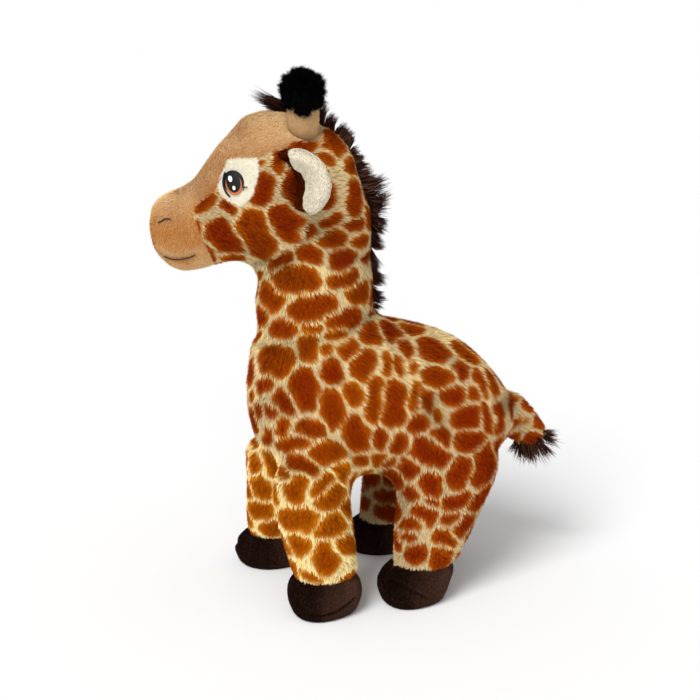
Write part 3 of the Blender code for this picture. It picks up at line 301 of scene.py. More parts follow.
@dataclass(frozen=True)
class PileFinish:
    """A cut pile fabric: what its fibres look like and how they stand.

    Length and width are of one tuft of fibres, density is tufts per square metre.
    """

    name: str
    length: float
    width: float
    density: float
    lean: float
    stray: float
    clump: float
    clump_density: float
    roughness: float
    sheen: float
    colours: tuple[Tone, ...]
    patterned: bool = False
    root_shade: float = 0.45
    jitter: float = 0.16
    short: bool = False

    def material(self) -> bpy.types.Material:
        """Returns the fibre material, made once."""
        known = bpy.data.materials.get(self.name)
        if known:
            return known
        mat = bpy.data.materials.new(self.name)
        mat.use_nodes = True
        tree = mat.node_tree
        tree.nodes.clear()
        colour = self._patches(tree) if self.patterned else self._plain(tree)
        along = out(add_node(tree, "ShaderNodeAttribute", attribute_name="along"), "Fac")
        chance = out(add_node(tree, "ShaderNodeAttribute", attribute_name="chance"), "Fac")
        dusk = out(add_node(tree, "ShaderNodeAttribute", attribute_name="dusk"), "Fac")
        # darker at the root, where fibres shade one another; each tuft a little lighter or darker
        root = add_node(
            tree, "ShaderNodeMapRange", {"Value": along, "To Min": self.root_shade, "To Max": 1.0, "From Max": 0.55}
        )
        each = add_node(
            tree, "ShaderNodeMapRange", {"Value": chance, "To Min": 1 - self.jitter, "To Max": 1 + self.jitter}
        )
        value = add_node(tree, "ShaderNodeMath", {0: out(root), 1: out(each)}, operation="MULTIPLY")
        lit = add_node(tree, "ShaderNodeVectorMath", {0: colour, 3: out(value)}, operation="SCALE")
        # painted shade: the colour is mixed towards the dark brown by the painted shade value
        final = add_node(
            tree, "ShaderNodeMix", {"Factor": dusk, "A": out(lit), "B": srgb(Tone.DUSK.value)}, data_type="RGBA"
        )
        skin = add_node(
            tree,
            "ShaderNodeBsdfPrincipled",
            {
                "Base Color": out(final),
                "Roughness": self.roughness,
                "Specular IOR Level": 0.03,
                "Sheen Weight": self.sheen,
            },
        )
        skin.inputs["Sheen Roughness"].default_value = 0.5
        add_node(tree, "ShaderNodeOutputMaterial", {"Surface": out(skin)})
        return mat

    def _patches(self, tree: bpy.types.NodeTree) -> bpy.types.NodeSocket:
        """Dyed pattern: cream lines, honey borders and rust patches darker in the middle, with painted light and shade
        carried by the tint.
        """
        edge = out(add_node(tree, "ShaderNodeAttribute", attribute_name="edge"), "Fac")
        tint = out(add_node(tree, "ShaderNodeAttribute", attribute_name="tint"), "Fac")
        chance = out(add_node(tree, "ShaderNodeAttribute", attribute_name="chance"), "Fac")
        blur = add_node(tree, "ShaderNodeMapRange", {"Value": chance, "To Min": -0.45, "To Max": 0.45})
        moved = add_node(tree, "ShaderNodeMath", {0: edge, 1: out(blur)}, operation="ADD")
        scaled = add_node(tree, "ShaderNodeMapRange", {"Value": out(moved), "From Min": 0.0, "From Max": 10.0})
        ramp = add_node(tree, "ShaderNodeValToRGB", {0: out(scaled)})
        stops = ((0.07, Tone.CREAM), (0.12, Tone.HONEY), (0.175, Tone.RUST), (0.60, Tone.UMBER))
        band = ramp.color_ramp
        while len(band.elements) < len(stops):
            band.elements.new(0.5)
        for element, (place, tone) in zip(band.elements, stops):
            element.position, element.color = place, srgb(tone.value)
        change = add_node(tree, "ShaderNodeMapRange", {"Value": tint, "To Min": 0.84, "To Max": 1.26})
        hue = add_node(tree, "ShaderNodeMapRange", {"Value": tint, "To Min": 0.493, "To Max": 0.513})
        mixed = add_node(
            tree, "ShaderNodeHueSaturation", {"Color": ramp.outputs["Color"], "Value": out(change), "Hue": out(hue)}
        )
        return out(mixed)

    def _plain(self, tree: bpy.types.NodeTree) -> bpy.types.NodeSocket:
        """One dye lot, with soft random light and dark drifts, and painted light where the upper value is high."""
        place = add_node(tree, "ShaderNodeTexCoord")
        drift = add_node(tree, "ShaderNodeTexNoise", {"Vector": place.outputs["Object"], "Scale": 55.0, "Detail": 2.0})
        chance = out(add_node(tree, "ShaderNodeAttribute", attribute_name="chance"), "Fac")
        # painted light: the upper value moves the colour towards the lighter one
        upper = out(add_node(tree, "ShaderNodeAttribute", attribute_name="upper"), "Fac")
        both = add_node(tree, "ShaderNodeMath", {0: out(drift, "Fac"), 1: chance}, operation="ADD")
        tall = add_node(tree, "ShaderNodeMath", {0: upper, 1: 2.2, 2: out(both)}, operation="MULTIPLY_ADD")
        share = add_node(tree, "ShaderNodeMapRange", {"Value": out(tall), "From Min": 0.8, "From Max": 3.0})
        first, last = srgb(self.colours[0].value), srgb(self.colours[-1].value)
        mixed = add_node(tree, "ShaderNodeMix", {"Factor": out(share), "A": first, "B": last}, data_type="RGBA")
        return out(mixed)


@dataclass(frozen=True)
class ThreadFinish:
    """Embroidery or sewing thread: a smooth twisted yarn with a low shine."""

    name: str
    tone: Tone
    roughness: float = 0.45

    def material(self) -> bpy.types.Material:
        """Returns the thread material, made once."""
        known = bpy.data.materials.get(self.name)
        if known:
            return known
        mat = bpy.data.materials.new(self.name)
        mat.use_nodes = True
        tree = mat.node_tree
        tree.nodes.clear()
        skin = add_node(
            tree,
            "ShaderNodeBsdfPrincipled",
            {"Base Color": srgb(self.tone.value), "Roughness": self.roughness, "Specular IOR Level": 0.3},
        )
        add_node(tree, "ShaderNodeOutputMaterial", {"Surface": out(skin)})
        return mat


# Real fibres are 0.02 to 0.05 mm thick and too fine to show, so each tuft stands for a few dozen of them.
# Each finish: tuft length and width, tufts per square metre, lean, stray, clump and clumps per square metre.
LONG_PILE = PileFinish(
    # printed polyester fur: soft tips with hardly any shine, and painted shade at the roots where the tufts part
    "patterned_long_pile_printed_polyester",
    length=5.6 * MM, width=0.46 * MM, density=1.75e6, lean=58, stray=0.16, clump=0.45, clump_density=1.3e5,
    roughness=0.7, sheen=0.0, colours=(Tone.CREAM, Tone.RUST), patterned=True, root_shade=0.62, jitter=0.10,
)
TAN_PILE = PileFinish(
    # sheared plush: an even, velvety skin, with painted light that makes it lighter where it faces up
    "tan_short_plush_sheared_polyester",
    length=2.4 * MM, width=0.34 * MM, density=5.0e6, lean=50, stray=0.2, clump=0.3, clump_density=2.5e5,
    roughness=0.8, sheen=0.1, colours=(Tone.TAN_DEEP, Tone.TAN), root_shade=0.8, jitter=0.07, short=True,
)
IVORY_PILE = PileFinish(
    # the same plush undyed: bright and nearly without shade of its own
    "ivory_short_plush_sheared_polyester",
    length=2.4 * MM, width=0.34 * MM, density=5.0e6, lean=50, stray=0.2, clump=0.3, clump_density=2.5e5,
    roughness=0.8, sheen=0.1, colours=(Tone.IVORY, Tone.IVORY), root_shade=0.9, jitter=0.03, short=True,
)
LINING_PILE = PileFinish(
    # brushed minky: a closed, milky nap
    "cream_ear_lining_minky_brushed",
    length=1.3 * MM, width=0.38 * MM, density=7.0e6, lean=64, stray=0.05, clump=0.2, clump_density=2.5e5,
    roughness=0.8, sheen=0.1, colours=(Tone.LINING, Tone.LINING), root_shade=1.0, jitter=0.01, short=True,
)
VELBOA = PileFinish(
    # very short nap: dark, with a painted sheen that makes one side lighter
    "dark_brown_velboa_sheared_nap",
    length=1.3 * MM, width=0.34 * MM, density=5.0e6, lean=52, stray=0.25, clump=0.3, clump_density=2.5e5,
    roughness=0.75, sheen=0.0, colours=(Tone.HOOF, Tone.HOOF_LIGHT), root_shade=0.8, jitter=0.15, short=True,
)
MANE_PILE = PileFinish(
    # long straight fibres that gather in locks and catch light one by one
    "dark_brown_long_pile_cut_fringe",
    length=11.0 * MM, width=0.85 * MM, density=4.0e6, lean=10, stray=0.09, clump=0.9, clump_density=3.2e4,
    roughness=0.6, sheen=0.0, colours=(Tone.MANE, Tone.MANE_LIGHT), root_shade=0.45, jitter=0.35,
)
POMPOM_PILE = PileFinish(
    # cut yarn: matt black, with a ragged outline
    "black_pompom_pile_cut_yarn",
    length=5.6 * MM, width=0.6 * MM, density=3.2e6, lean=25, stray=0.3, clump=0.7, clump_density=0.6e5,
    roughness=0.9, sheen=0.0, colours=(Tone.POMPOM, Tone.POMPOM), root_shade=0.8, jitter=0.3,
)
BACKING = PileFinish(
    # the knit that the fur is made on, which shows between the tufts in the same print
    "printed_knit_backing",
    length=MM, width=MM, density=1, lean=0, stray=0, clump=0, clump_density=1,
    roughness=0.8, sheen=0.1, colours=(Tone.CREAM, Tone.RUST), patterned=True, root_shade=0.7,
)


# --------------------------------------------------------------------------------------
# Pile: the geometry nodes that grow fibres on a skin
# --------------------------------------------------------------------------------------


class Loom:
    """Grows tufts over a skin with Geometry Nodes and turns them into plain pieces."""

    MOST_TRIANGLES = 185000
    INPUTS = (
        ("Density", "NodeSocketFloat"),
        ("Clump Density", "NodeSocketFloat"),
        ("Clump", "NodeSocketFloat"),
        ("Width", "NodeSocketFloat"),
        ("Stray", "NodeSocketFloat"),
        ("Seed", "NodeSocketInt"),
        ("Tuft", "NodeSocketObject"),
        ("Finish", "NodeSocketMaterial"),
    )

    def __init__(self) -> None:
        """Makes the node tree and the two tufts that it repeats."""
        self.tree = self._build()
        long = ((-0.5, 0, 0), (0.5, 0, 0), (-0.42, 0.07, 0.5), (0.42, 0.07, 0.5), (0, -0.08, 1.0))
        self.tufts = {
            False: self._tuft("tuft_long", long, [(0, 1, 3, 2), (2, 3, 4)]),
            True: self._tuft("tuft_short", ((-0.5, 0, 0), (0.5, 0, 0), (0, -0.1, 1.0)), [(0, 1, 2)]),
        }

    def _tuft(self, name: str, points: tuple, faces: list) -> bpy.types.Object:
        """One tuft of unit length along Z, lying back a little towards its tip."""
        tuft = mesh_object(name, np.array(points), faces)
        store(tuft.data, "along", np.array([p[2] for p in points]))
        tuft.hide_render = tuft.hide_viewport = True
        return tuft

    def _build(self) -> bpy.types.NodeTree:
        """Returns the tree that spreads, leans, gathers and cuts tufts over a skin."""
        tree = bpy.data.node_groups.new("grown_pile", "GeometryNodeTree")
        tree.interface.new_socket(name="Skin", in_out="INPUT", socket_type="NodeSocketGeometry")
        for name, kind in self.INPUTS:
            tree.interface.new_socket(name=name, in_out="INPUT", socket_type=kind)
        tree.interface.new_socket(name="Pile", in_out="OUTPUT", socket_type="NodeSocketGeometry")
        group = add_node(tree, "NodeGroupInput")

        def named(name: str, kind: str = "FLOAT") -> bpy.types.NodeSocket:
            """Returns the socket of one of the skin's attributes."""
            reader = add_node(tree, "GeometryNodeInputNamedAttribute", {"Name": name}, data_type=kind)
            return out(reader, "Attribute")

        def worked(operation: str, a: object, b: object, kind: str = "ShaderNodeMath") -> bpy.types.NodeSocket:
            """Returns the result of an operation on two sockets or values."""
            return out(add_node(tree, kind, {0: a, 1: b}, operation=operation))

        seed = group.outputs["Seed"]
        density = worked("MULTIPLY", group.outputs["Density"], named("fill"))
        roots = add_node(
            tree,
            "GeometryNodeDistributePointsOnFaces",
            {"Mesh": group.outputs["Skin"], "Density": density, "Seed": seed},
        )
        chance = add_node(tree, "FunctionNodeRandomValue", {"Seed": seed}, data_type="FLOAT")
        border = worked("MULTIPLY", worked("SUBTRACT", out(chance), 0.5), 1.2)
        bare = add_node(
            tree, "FunctionNodeCompare", {"A": named("room"), "B": border}, data_type="FLOAT", operation="LESS_THAN"
        )
        normal = add_node(
            tree,
            "GeometryNodeStoreNamedAttribute",
            {"Geometry": roots.outputs["Points"], "Name": "outward", "Value": roots.outputs["Normal"]},
            data_type="FLOAT_VECTOR",
            domain="POINT",
        )
        kept = add_node(
            tree, "GeometryNodeDeleteGeometry", {"Geometry": out(normal), "Selection": out(bare)}, domain="POINT"
        )
        centres = add_node(
            tree,
            "GeometryNodeDistributePointsOnFaces",
            {
                "Mesh": group.outputs["Skin"],
                "Density": group.outputs["Clump Density"],
                "Seed": worked("ADD", seed, 7.0),
            },
        )
        here = out(add_node(tree, "GeometryNodeInputPosition"))
        nearest = add_node(
            tree,
            "GeometryNodeSampleNearest",
            {"Geometry": centres.outputs["Points"], "Sample Position": here},
            domain="POINT",
        )
        centre = add_node(
            tree,
            "GeometryNodeSampleIndex",
            {"Geometry": centres.outputs["Points"], "Value": here, "Index": out(nearest)},
            data_type="FLOAT_VECTOR",
            domain="POINT",
        )
        pulled = add_node(
            tree,
            "GeometryNodeStoreNamedAttribute",
            {
                "Geometry": out(kept),
                "Name": "pull",
                "Value": worked("SUBTRACT", out(centre), here, "ShaderNodeVectorMath"),
            },
            data_type="FLOAT_VECTOR",
            domain="POINT",
        )
        luck = add_node(tree, "FunctionNodeRandomValue", {"Seed": worked("ADD", seed, 3.0)}, data_type="FLOAT")
        chanced = add_node(
            tree,
            "GeometryNodeStoreNamedAttribute",
            {"Geometry": out(pulled), "Name": "chance", "Value": out(luck)},
            data_type="FLOAT",
            domain="POINT",
        )
        sway = add_node(
            tree,
            "FunctionNodeRandomValue",
            {"Min": (-1, -1, -1), "Max": (1, 1, 1), "Seed": worked("ADD", seed, 11.0)},
            data_type="FLOAT_VECTOR",
        )
        swayed = out(
            add_node(tree, "ShaderNodeVectorMath", {0: out(sway), 3: group.outputs["Stray"]}, operation="SCALE")
        )
        aim = worked("ADD", named("aim", "FLOAT_VECTOR"), swayed, "ShaderNodeVectorMath")
        turned = add_node(
            tree,
            "FunctionNodeAxesToRotation",
            {"Primary Axis": aim, "Secondary Axis": named("outward", "FLOAT_VECTOR")},
            primary_axis="Z",
            secondary_axis="Y",
        )
        twist = add_node(
            tree,
            "FunctionNodeRandomValue",
            {"Min": -0.8, "Max": 0.8, "Seed": worked("ADD", seed, 5.0)},
            data_type="FLOAT",
        )
        roll = add_node(tree, "FunctionNodeAxisAngleToRotation", {"Axis": (0, 0, 1), "Angle": out(twist)})
        rolled = add_node(
            tree,
            "FunctionNodeRotateRotation",
            {"Rotation": out(turned), "Rotate By": out(roll)},
            rotation_space="LOCAL",
        )
        uneven = add_node(
            tree,
            "FunctionNodeRandomValue",
            {"Min": 0.7, "Max": 1.12, "Seed": worked("ADD", seed, 2.0)},
            data_type="FLOAT",
        )
        length = worked("MULTIPLY", named("pile"), out(uneven))
        size = add_node(tree, "ShaderNodeCombineXYZ", {"X": group.outputs["Width"], "Y": length, "Z": length})
        tuft = add_node(tree, "GeometryNodeObjectInfo", {"Object": group.outputs["Tuft"]}, transform_space="ORIGINAL")
        grown = add_node(
            tree,
            "GeometryNodeInstanceOnPoints",
            {
                "Points": out(chanced),
                "Instance": tuft.outputs["Geometry"],
                "Rotation": out(rolled),
                "Scale": out(size),
            },
        )
        real = add_node(tree, "GeometryNodeRealizeInstances", {"Geometry": out(grown)})
        bend = worked("MULTIPLY", worked("POWER", named("along"), 1.5), group.outputs["Clump"])
        shift = add_node(tree, "ShaderNodeVectorMath", {0: named("pull", "FLOAT_VECTOR"), 3: bend}, operation="SCALE")
        gathered = add_node(tree, "GeometryNodeSetPosition", {"Geometry": out(real), "Offset": out(shift)})
        done = add_node(
            tree, "GeometryNodeSetMaterial", {"Geometry": out(gathered), "Material": group.outputs["Finish"]}
        )
        add_node(tree, "NodeGroupOutput", {"Pile": out(done)})
        return tree

    def grow(
        self, name: str, skin: bpy.types.Object, finish: PileFinish, seed: int, density: float = 1.0
    ) -> list[bpy.types.Object]:
        """Grows the pile of a skin, in as many pieces as keep each one light.

        Args:
            name: the pieces' name.
            skin: the mesh that carries fill, room, aim and pile attributes.
            finish: the fabric.
            seed: fixed seed of this pile.
            density: share of the finish's density.

        Returns:
            Plain mesh objects at the origin.
        """
        area = sum(face.area for face in skin.data.polygons)
        if "room_long" in skin.data.attributes:
            area *= 0.5
        triangles = area * finish.density * density * (1 if finish.short else 3)
        count = max(1, math.ceil(triangles / self.MOST_TRIANGLES))
        return [
            self._grow(name if count == 1 else f"{name}_{k + 1}", skin, finish, seed + 100 * k, density / count)
            for k in range(count)
        ]

    def _grow(
        self, name: str, skin: bpy.types.Object, finish: PileFinish, seed: int, density: float
    ) -> bpy.types.Object:
        """Grows one piece of pile.

        Args:
            name: the piece's name.
            skin: the mesh that carries fill, room, aim and pile attributes.
            finish: the fabric.
            seed: fixed seed of this piece.
            density: share of the finish's density.

        Returns:
            A plain mesh object at the origin.
        """
        thin = 1.0
        values = {
            "Density": finish.density * density * thin,
            "Clump Density": finish.clump_density,
            "Clump": finish.clump,
            "Width": finish.width / math.sqrt(thin),
            "Stray": finish.stray,
            "Seed": seed,
            "Tuft": self.tufts[finish.short],
            "Finish": finish.material(),
        }
        modifier = skin.modifiers.new("pile", "NODES")
        modifier.node_group = self.tree
        sockets = {s.name: s.identifier for s in self.tree.interface.items_tree if s.in_out == "INPUT"}
        for key, value in values.items():
            modifier[sockets[key]] = value
        graph = bpy.context.evaluated_depsgraph_get()
        mesh = bpy.data.meshes.new_from_object(
            skin.evaluated_get(graph), preserve_all_data_layers=True, depsgraph=graph
        )
        skin.modifiers.remove(modifier)
        mesh.name = name
        for spare in ("pull", "outward", "aim", "pile", "fill", "room", "sharp_face"):
            if spare in mesh.attributes:
                mesh.attributes.remove(mesh.attributes[spare])
        pile = bpy.data.objects.new(name, mesh)
        bpy.context.scene.collection.objects.link(pile)
        log.info("%s: %d triangles", name, len(mesh.polygons) if finish.short else len(mesh.polygons) // 2 * 3)
        return pile

    def clear(self) -> None:
        """Removes the tufts that the nodes repeated."""
        for tuft in self.tufts.values():
            bpy.data.objects.remove(tuft)


# --------------------------------------------------------------------------------------
# Cloth
# --------------------------------------------------------------------------------------


HEAD_PIVOT = np.array((0.0022, -0.0451, 0.0))
HEAD_LEFT = np.array((0.96363, -0.26724, 0.0))
HEAD_FORWARD = np.array((-0.26724, -0.96363, 0.0))
MIDDLE = np.array((0.0022, 0.0, 0.0))
LEFT = np.array((1.0, 0.0, 0.0))
THROAT_Z = 0.2577


def mirrored(points: np.ndarray, pivot: np.ndarray, normal: np.ndarray) -> np.ndarray:
    """Returns points reflected in the plane through pivot."""
    return points - 2 * ((points - pivot) @ normal)[..., None] * normal


def near_side(points: np.ndarray, pivot: np.ndarray, normal: np.ndarray) -> np.ndarray:
    """Returns points with those of the far side reflected to the near one."""
    side = (points - pivot) @ normal
    return points - 2 * np.minimum(side, 0.0)[:, None] * normal


def joined_nodes(name: str, nodes: tuple[str, ...]) -> bpy.types.Object:
    """Returns one new mesh object with copies of some CAD nodes' meshes."""
    points, faces = [], []
    for node in nodes:
        mesh = frame["nodes"][node].data
        base = len(points)
        points.extend(v.co.copy() for v in mesh.vertices)
        faces.extend([base + i for i in p.vertices] for p in mesh.polygons)
    return mesh_object(name, np.array(points), faces)


def settle(obj: bpy.types.Object) -> None:
    """Turns an object's modifiers into plain mesh."""
    graph = bpy.context.evaluated_depsgraph_get()
    mesh = bpy.data.meshes.new_from_object(obj.evaluated_get(graph))
    mesh.name = obj.name
    obj.modifiers.clear()
    obj.data = mesh


def move(obj: bpy.types.Object, points: np.ndarray) -> None:
    """Puts an object's vertices at new places."""
    obj.data.vertices.foreach_set("co", np.ascontiguousarray(points, np.float32).ravel())
    obj.data.update()


def tree_of(obj: bpy.types.Object) -> BVHTree:
    """Returns a tree of an object's mesh for rays and nearest points."""
    mesh = obj.data
    return BVHTree.FromPolygons([v.co for v in mesh.vertices], [tuple(p.vertices) for p in mesh.polygons])


def outer_shell(obj: bpy.types.Object) -> bpy.types.Object:
    """Drops closed surfaces that lie inside the outermost one."""
    mesh = obj.data
    label = np.arange(len(mesh.vertices))
    edges = np.zeros(len(mesh.edges) * 2, np.int32)
    mesh.edges.foreach_get("vertices", edges)
    a, b = edges.reshape(-1, 2).T
    while True:
        low = label.copy()
        np.minimum.at(low, a, label[b])
        np.minimum.at(low, b, label[a])
        low = low[low]
        if (low == label).all():
            break
        label = low
    names, sizes = np.unique(label, return_counts=True)
    if len(names) == 1:
        return obj
    keep = label == names[sizes.argmax()]
    new = np.cumsum(keep) - 1
    points, name = coordinates(mesh)[keep], obj.name
    faces = [[new[i] for i in p.vertices] for p in mesh.polygons if keep[p.vertices[0]]]
    bpy.data.objects.remove(obj)
    shell = mesh_object("shell", points, faces)
    shell.name = name
    return shell


def worked_cloth(
    name: str, nodes: tuple[str, ...], voxel: float, inset: float, close: float = 0.0, smooth: int = 5
) -> bpy.types.Object:
    """Works one closed cloth surface round CAD nodes.

    Args:
        name: the piece's name.
        nodes: CAD nodes that it goes round.
        voxel: mesh size.
        inset: how far the cloth lies inside the nodes.
        close: half the width of a gap that the cloth spans.
        smooth: rounds of smoothing.

    Returns:
        The cloth.
    """
    obj = joined_nodes(name, nodes)
    for step, size in ((0, min(voxel, 0.003)), (1, voxel)):
        if step and not close:
            continue
        remesh = obj.modifiers.new("remesh", "REMESH")
        remesh.mode, remesh.voxel_size, remesh.use_smooth_shade = "VOXEL", size, True
        if step == 0 and close:
            obj.modifiers.new("relax", "SMOOTH").iterations = 2
            grow = obj.modifiers.new("grow", "DISPLACE")
            grow.mid_level, grow.strength = 0.0, close
    even = obj.modifiers.new("even", "SMOOTH")
    even.factor, even.iterations = 0.5, smooth
    settle(obj)
    obj = outer_shell(obj)
    for share in (0.5, 0.5):
        move(obj, coordinates(obj.data) - vertex_normals(obj.data) * (inset + close) * share)
    return obj


def stuffed(obj: bpy.types.Object, reach: float) -> None:
    """Inflates cloth as stuffing does, and caps how far it moves.

    Args:
        obj: the cloth.
        reach: most that a point may move.
    """
    before = coordinates(obj.data)
    cloth = obj.modifiers.new("cloth", "CLOTH")
    cloth.settings.use_pressure = True
    cloth.settings.uniform_pressure_force = 4.0
    cloth.settings.quality = 3
    cloth.settings.effector_weights.gravity = 0.0
    cloth.settings.tension_stiffness = cloth.settings.compression_stiffness = 15.0
    cloth.point_cache.frame_end = 14
    for step in range(1, 14):
        bpy.context.scene.frame_set(step)
    settle(obj)
    bpy.context.scene.frame_set(1)
    moved = coordinates(obj.data) - before
    far = np.linalg.norm(moved, axis=1, keepdims=True)
    move(obj, before + moved * np.minimum(1.0, reach / np.maximum(far, 1e-9)))


def averaged(values: np.ndarray, faces: np.ndarray) -> np.ndarray:
    """Returns values half averaged with those of neighbouring vertices of a mesh of quads."""
    total, count = np.zeros_like(values), np.zeros(len(values))
    for k in range(4):
        for there in (faces[:, (k + 1) % 4], faces[:, k - 1]):
            np.add.at(total, faces[:, k], values[there])
            np.add.at(count, faces[:, k], 1)
    return 0.5 * values + 0.5 * total / np.maximum(count, 1)[:, None]


@dataclass(frozen=True)
class Cut:
    """One part of the coat: the bodies that it follows and the CAD nodes that it stands for."""

    name: str
    body: str
    nodes: tuple[str, ...]
    follows: str | None = None
    start: tuple[float, float, float] = (0, 0, 0)
    end: tuple[float, float, float] = (0, 0, 0)

    def seat(self, obj: bpy.types.Object) -> None:
        """Joins a piece of this part to its CAD body, or, where the part follows a second body, only bakes its place
        into its mesh; hides the part's nodes.
        """
        if self.follows:
            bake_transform(obj)
        else:
            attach(obj, self.body)
        if self.nodes:
            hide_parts(*self.nodes)


class Coat:
    """The sewn cloth from muzzle to hooves, worked as one surface and cut where it crosses joints."""

    BODIES = {
        "torso": ("torso_skin", "torso_filling"),
        "neck": ("neck_skin", "neck_filling"),
        "head": ("head_skin", "face_panel", "chin_panel", "eye_patch_left", "eye_patch_right", "head_filling"),
        "tail": ("tail_skin",),
        "front_left_leg": ("leg_front_left_skin", "leg_front_left_filling"),
        "front_right_leg": ("leg_front_right_skin", "leg_front_right_filling"),
        "hind_left_leg": ("leg_hind_left_skin", "leg_hind_left_filling"),
        "hind_right_leg": ("leg_hind_right_skin", "leg_hind_right_filling"),
    }
    CUTS = (
        Cut("torso", "torso", BODIES["torso"]),
        Cut("neck_lower", "torso", BODIES["neck"], "neck", (0.0022, -0.0451, 0.210), (0.0022, -0.0451, 0.236)),
        Cut("neck_upper", "neck", (), "head", (0.0022, -0.0451, 0.240), (0.0022, -0.0451, 0.2575)),
        Cut("head", "head", BODIES["head"]),
        Cut("tail", "torso", BODIES["tail"], "tail", (0.0022, 0.110, 0.133), (0.0022, 0.128, 0.118)),
        Cut(
            "leg_front_left", "torso", BODIES["front_left_leg"], "front_left_leg",
            (0.04, -0.06, 0.118), (0.04, -0.06, 0.08),
        ),
        Cut(
            "leg_front_right", "torso", BODIES["front_right_leg"], "front_right_leg",
            (-0.035, -0.06, 0.118), (-0.035, -0.06, 0.08),
        ),
        Cut(
            "leg_hind_left", "torso", BODIES["hind_left_leg"], "hind_left_leg",
            (0.04, 0.05, 0.130), (0.04, 0.05, 0.085),
        ),
        Cut(
            "leg_hind_right", "torso", BODIES["hind_right_leg"], "hind_right_leg",
            (-0.036, 0.05, 0.130), (-0.036, 0.05, 0.085),
        ),
    )
    # fuller places and folds of the picture: millimetres, half width in pixels, corners in pixels
    SWELLS = (
        (4.0, 11.0, ((499, 425), (501, 442), (499, 458))),
        (3.0, 9.0, ((250, 432), (247, 446))),
        (2.2, 14.0, ((256, 300), (255, 330))),
        (4.0, 13.0, ((250, 126), (268, 117), (292, 119))),
        (3.5, 8.0, ((291, 142), (305, 144), (320, 141))),
    )
    FOLDS = (
        (3.2, 4.0, ((250, 342), (280, 342), (300, 339), (325, 336), (345, 333), (360, 323), (371, 311))),
        (4.0, 3.5, ((255, 262), (283, 258), (298, 249), (305, 238), (309, 222))),
        (3.5, 3.5, ((411, 390), (425, 399), (432, 411), (440, 425), (452, 434))),
        (2.6, 3.2, ((322, 432), (336, 440), (348, 452), (352, 466))),
        (2.4, 3.2, ((262, 448), (252, 432), (249, 420))),
        (2.4, 3.0, ((404, 452), (401, 470), (404, 490))),
        (1.8, 4.0, ((296, 345), (292, 362), (282, 378))),
        (1.6, 4.0, ((316, 400), (312, 418), (300, 426))),
        (2.5, 3.0, ((158, 254), (165, 256), (170, 258), (177, 259), (187, 258), (196, 254))),
    )

    def __init__(self) -> None:
        """Works the cloth round the CAD skins and reads which body each point lies on."""
        nodes = tuple(n for names in self.BODIES.values() for n in names)
        obj = worked_cloth("coat", nodes, 4.0 * MM, 3.0 * MM, close=4.0 * MM, smooth=4)
        stuffed(obj, 1.2 * MM)
        self._fit(obj, nodes)
        self._ease(obj)
        self._fold(obj)
        obj.modifiers.new("finer", "SUBSURF").render_levels = 1
        obj.modifiers["finer"].levels = 1
        settle(obj)
        self.obj = obj
        self.points, self.normals = coordinates(obj.data), vertex_normals(obj.data)
        self.faces = np.array([tuple(p.vertices) for p in obj.data.polygons])
        self.tree = tree_of(obj)
        self.label = self._labels(self.points)
        self.values: dict[str, np.ndarray] = {}
        log.info("coat: %d vertices", len(self.points))

    def _fit(self, obj: bpy.types.Object, nodes: tuple[str, ...]) -> None:
        """Brings the cloth out to just under its pile's depth inside the CAD skins."""
        model = joined_nodes("model", nodes)
        tree = tree_of(model)
        bpy.data.objects.remove(model)
        faces = np.array([tuple(p.vertices) for p in obj.data.polygons if len(p.vertices) == 4])
        for _ in range(2):
            points, normals = coordinates(obj.data), vertex_normals(obj.data)
            rooms = Face.rooms(points)
            short = np.clip(np.maximum(rooms["tan"], rooms["ivory"]) / 3.0, 0, 1)
            depth = 2.4 * MM - 1.2 * MM * short
            push = np.zeros(len(points))
            for i, (point, normal) in enumerate(zip(points, normals)):
                far = tree.ray_cast(Vector(point + 0.009 * normal), Vector(-normal), 0.018)[3]
                if far is not None:
                    push[i] = min(max(0.009 - far - depth[i], 0.0), 0.007)
            for _ in range(2):
                push = averaged(push[:, None], faces)[:, 0]
            move(obj, points + normals * push[:, None])

    def _ease(self, obj: bpy.types.Object) -> None:
        """Smooths the cloth where two bodies meet."""
        points = coordinates(obj.data)
        faces = np.array([tuple(p.vertices) for p in obj.data.polygons if len(p.vertices) == 4])
        label = self._labels(points)
        band = np.zeros(len(points))
        mixed = label[faces].max(axis=1) != label[faces].min(axis=1)
        band[faces[mixed].ravel()] = 1.0
        for _ in range(5):
            band = np.minimum(1.0, 1.7 * averaged(band[:, None], faces)[:, 0])
        for _ in range(20):
            points = points + band[:, None] * (averaged(points, faces) - points)
        move(obj, points)

    def _fold(self, obj: bpy.types.Object) -> None:
        """Pushes the cloth in along the folds that show in the picture, and along their mirror images."""
        points, normals = coordinates(obj.data), vertex_normals(obj.data)
        for height, wide, line in self.SWELLS:
            rise = height * MM * np.exp(-((line_distance(LENS.project(points), line) / wide) ** 2))
            points = points + normals * rise[:, None]
        head = points[:, 2] > THROAT_Z
        near = np.where(
            head[:, None], near_side(points, HEAD_PIVOT, HEAD_LEFT), near_side(points, MIDDLE, LEFT)
        )
        places = LENS.project(near)
        side = np.where(head, (points - HEAD_PIVOT) @ HEAD_LEFT, (points - MIDDLE) @ LEFT)
        outward = np.abs(side) > 0.004
        for depth, wide, line in self.FOLDS:
            share = np.exp(-((line_distance(places, line) / wide) ** 2)) * outward
            share *= np.abs((normals * np.where(head[:, None], HEAD_LEFT, LEFT)).sum(1)) > 0.25
            points = points - normals * (depth * MM * share)[:, None]
        move(obj, points)

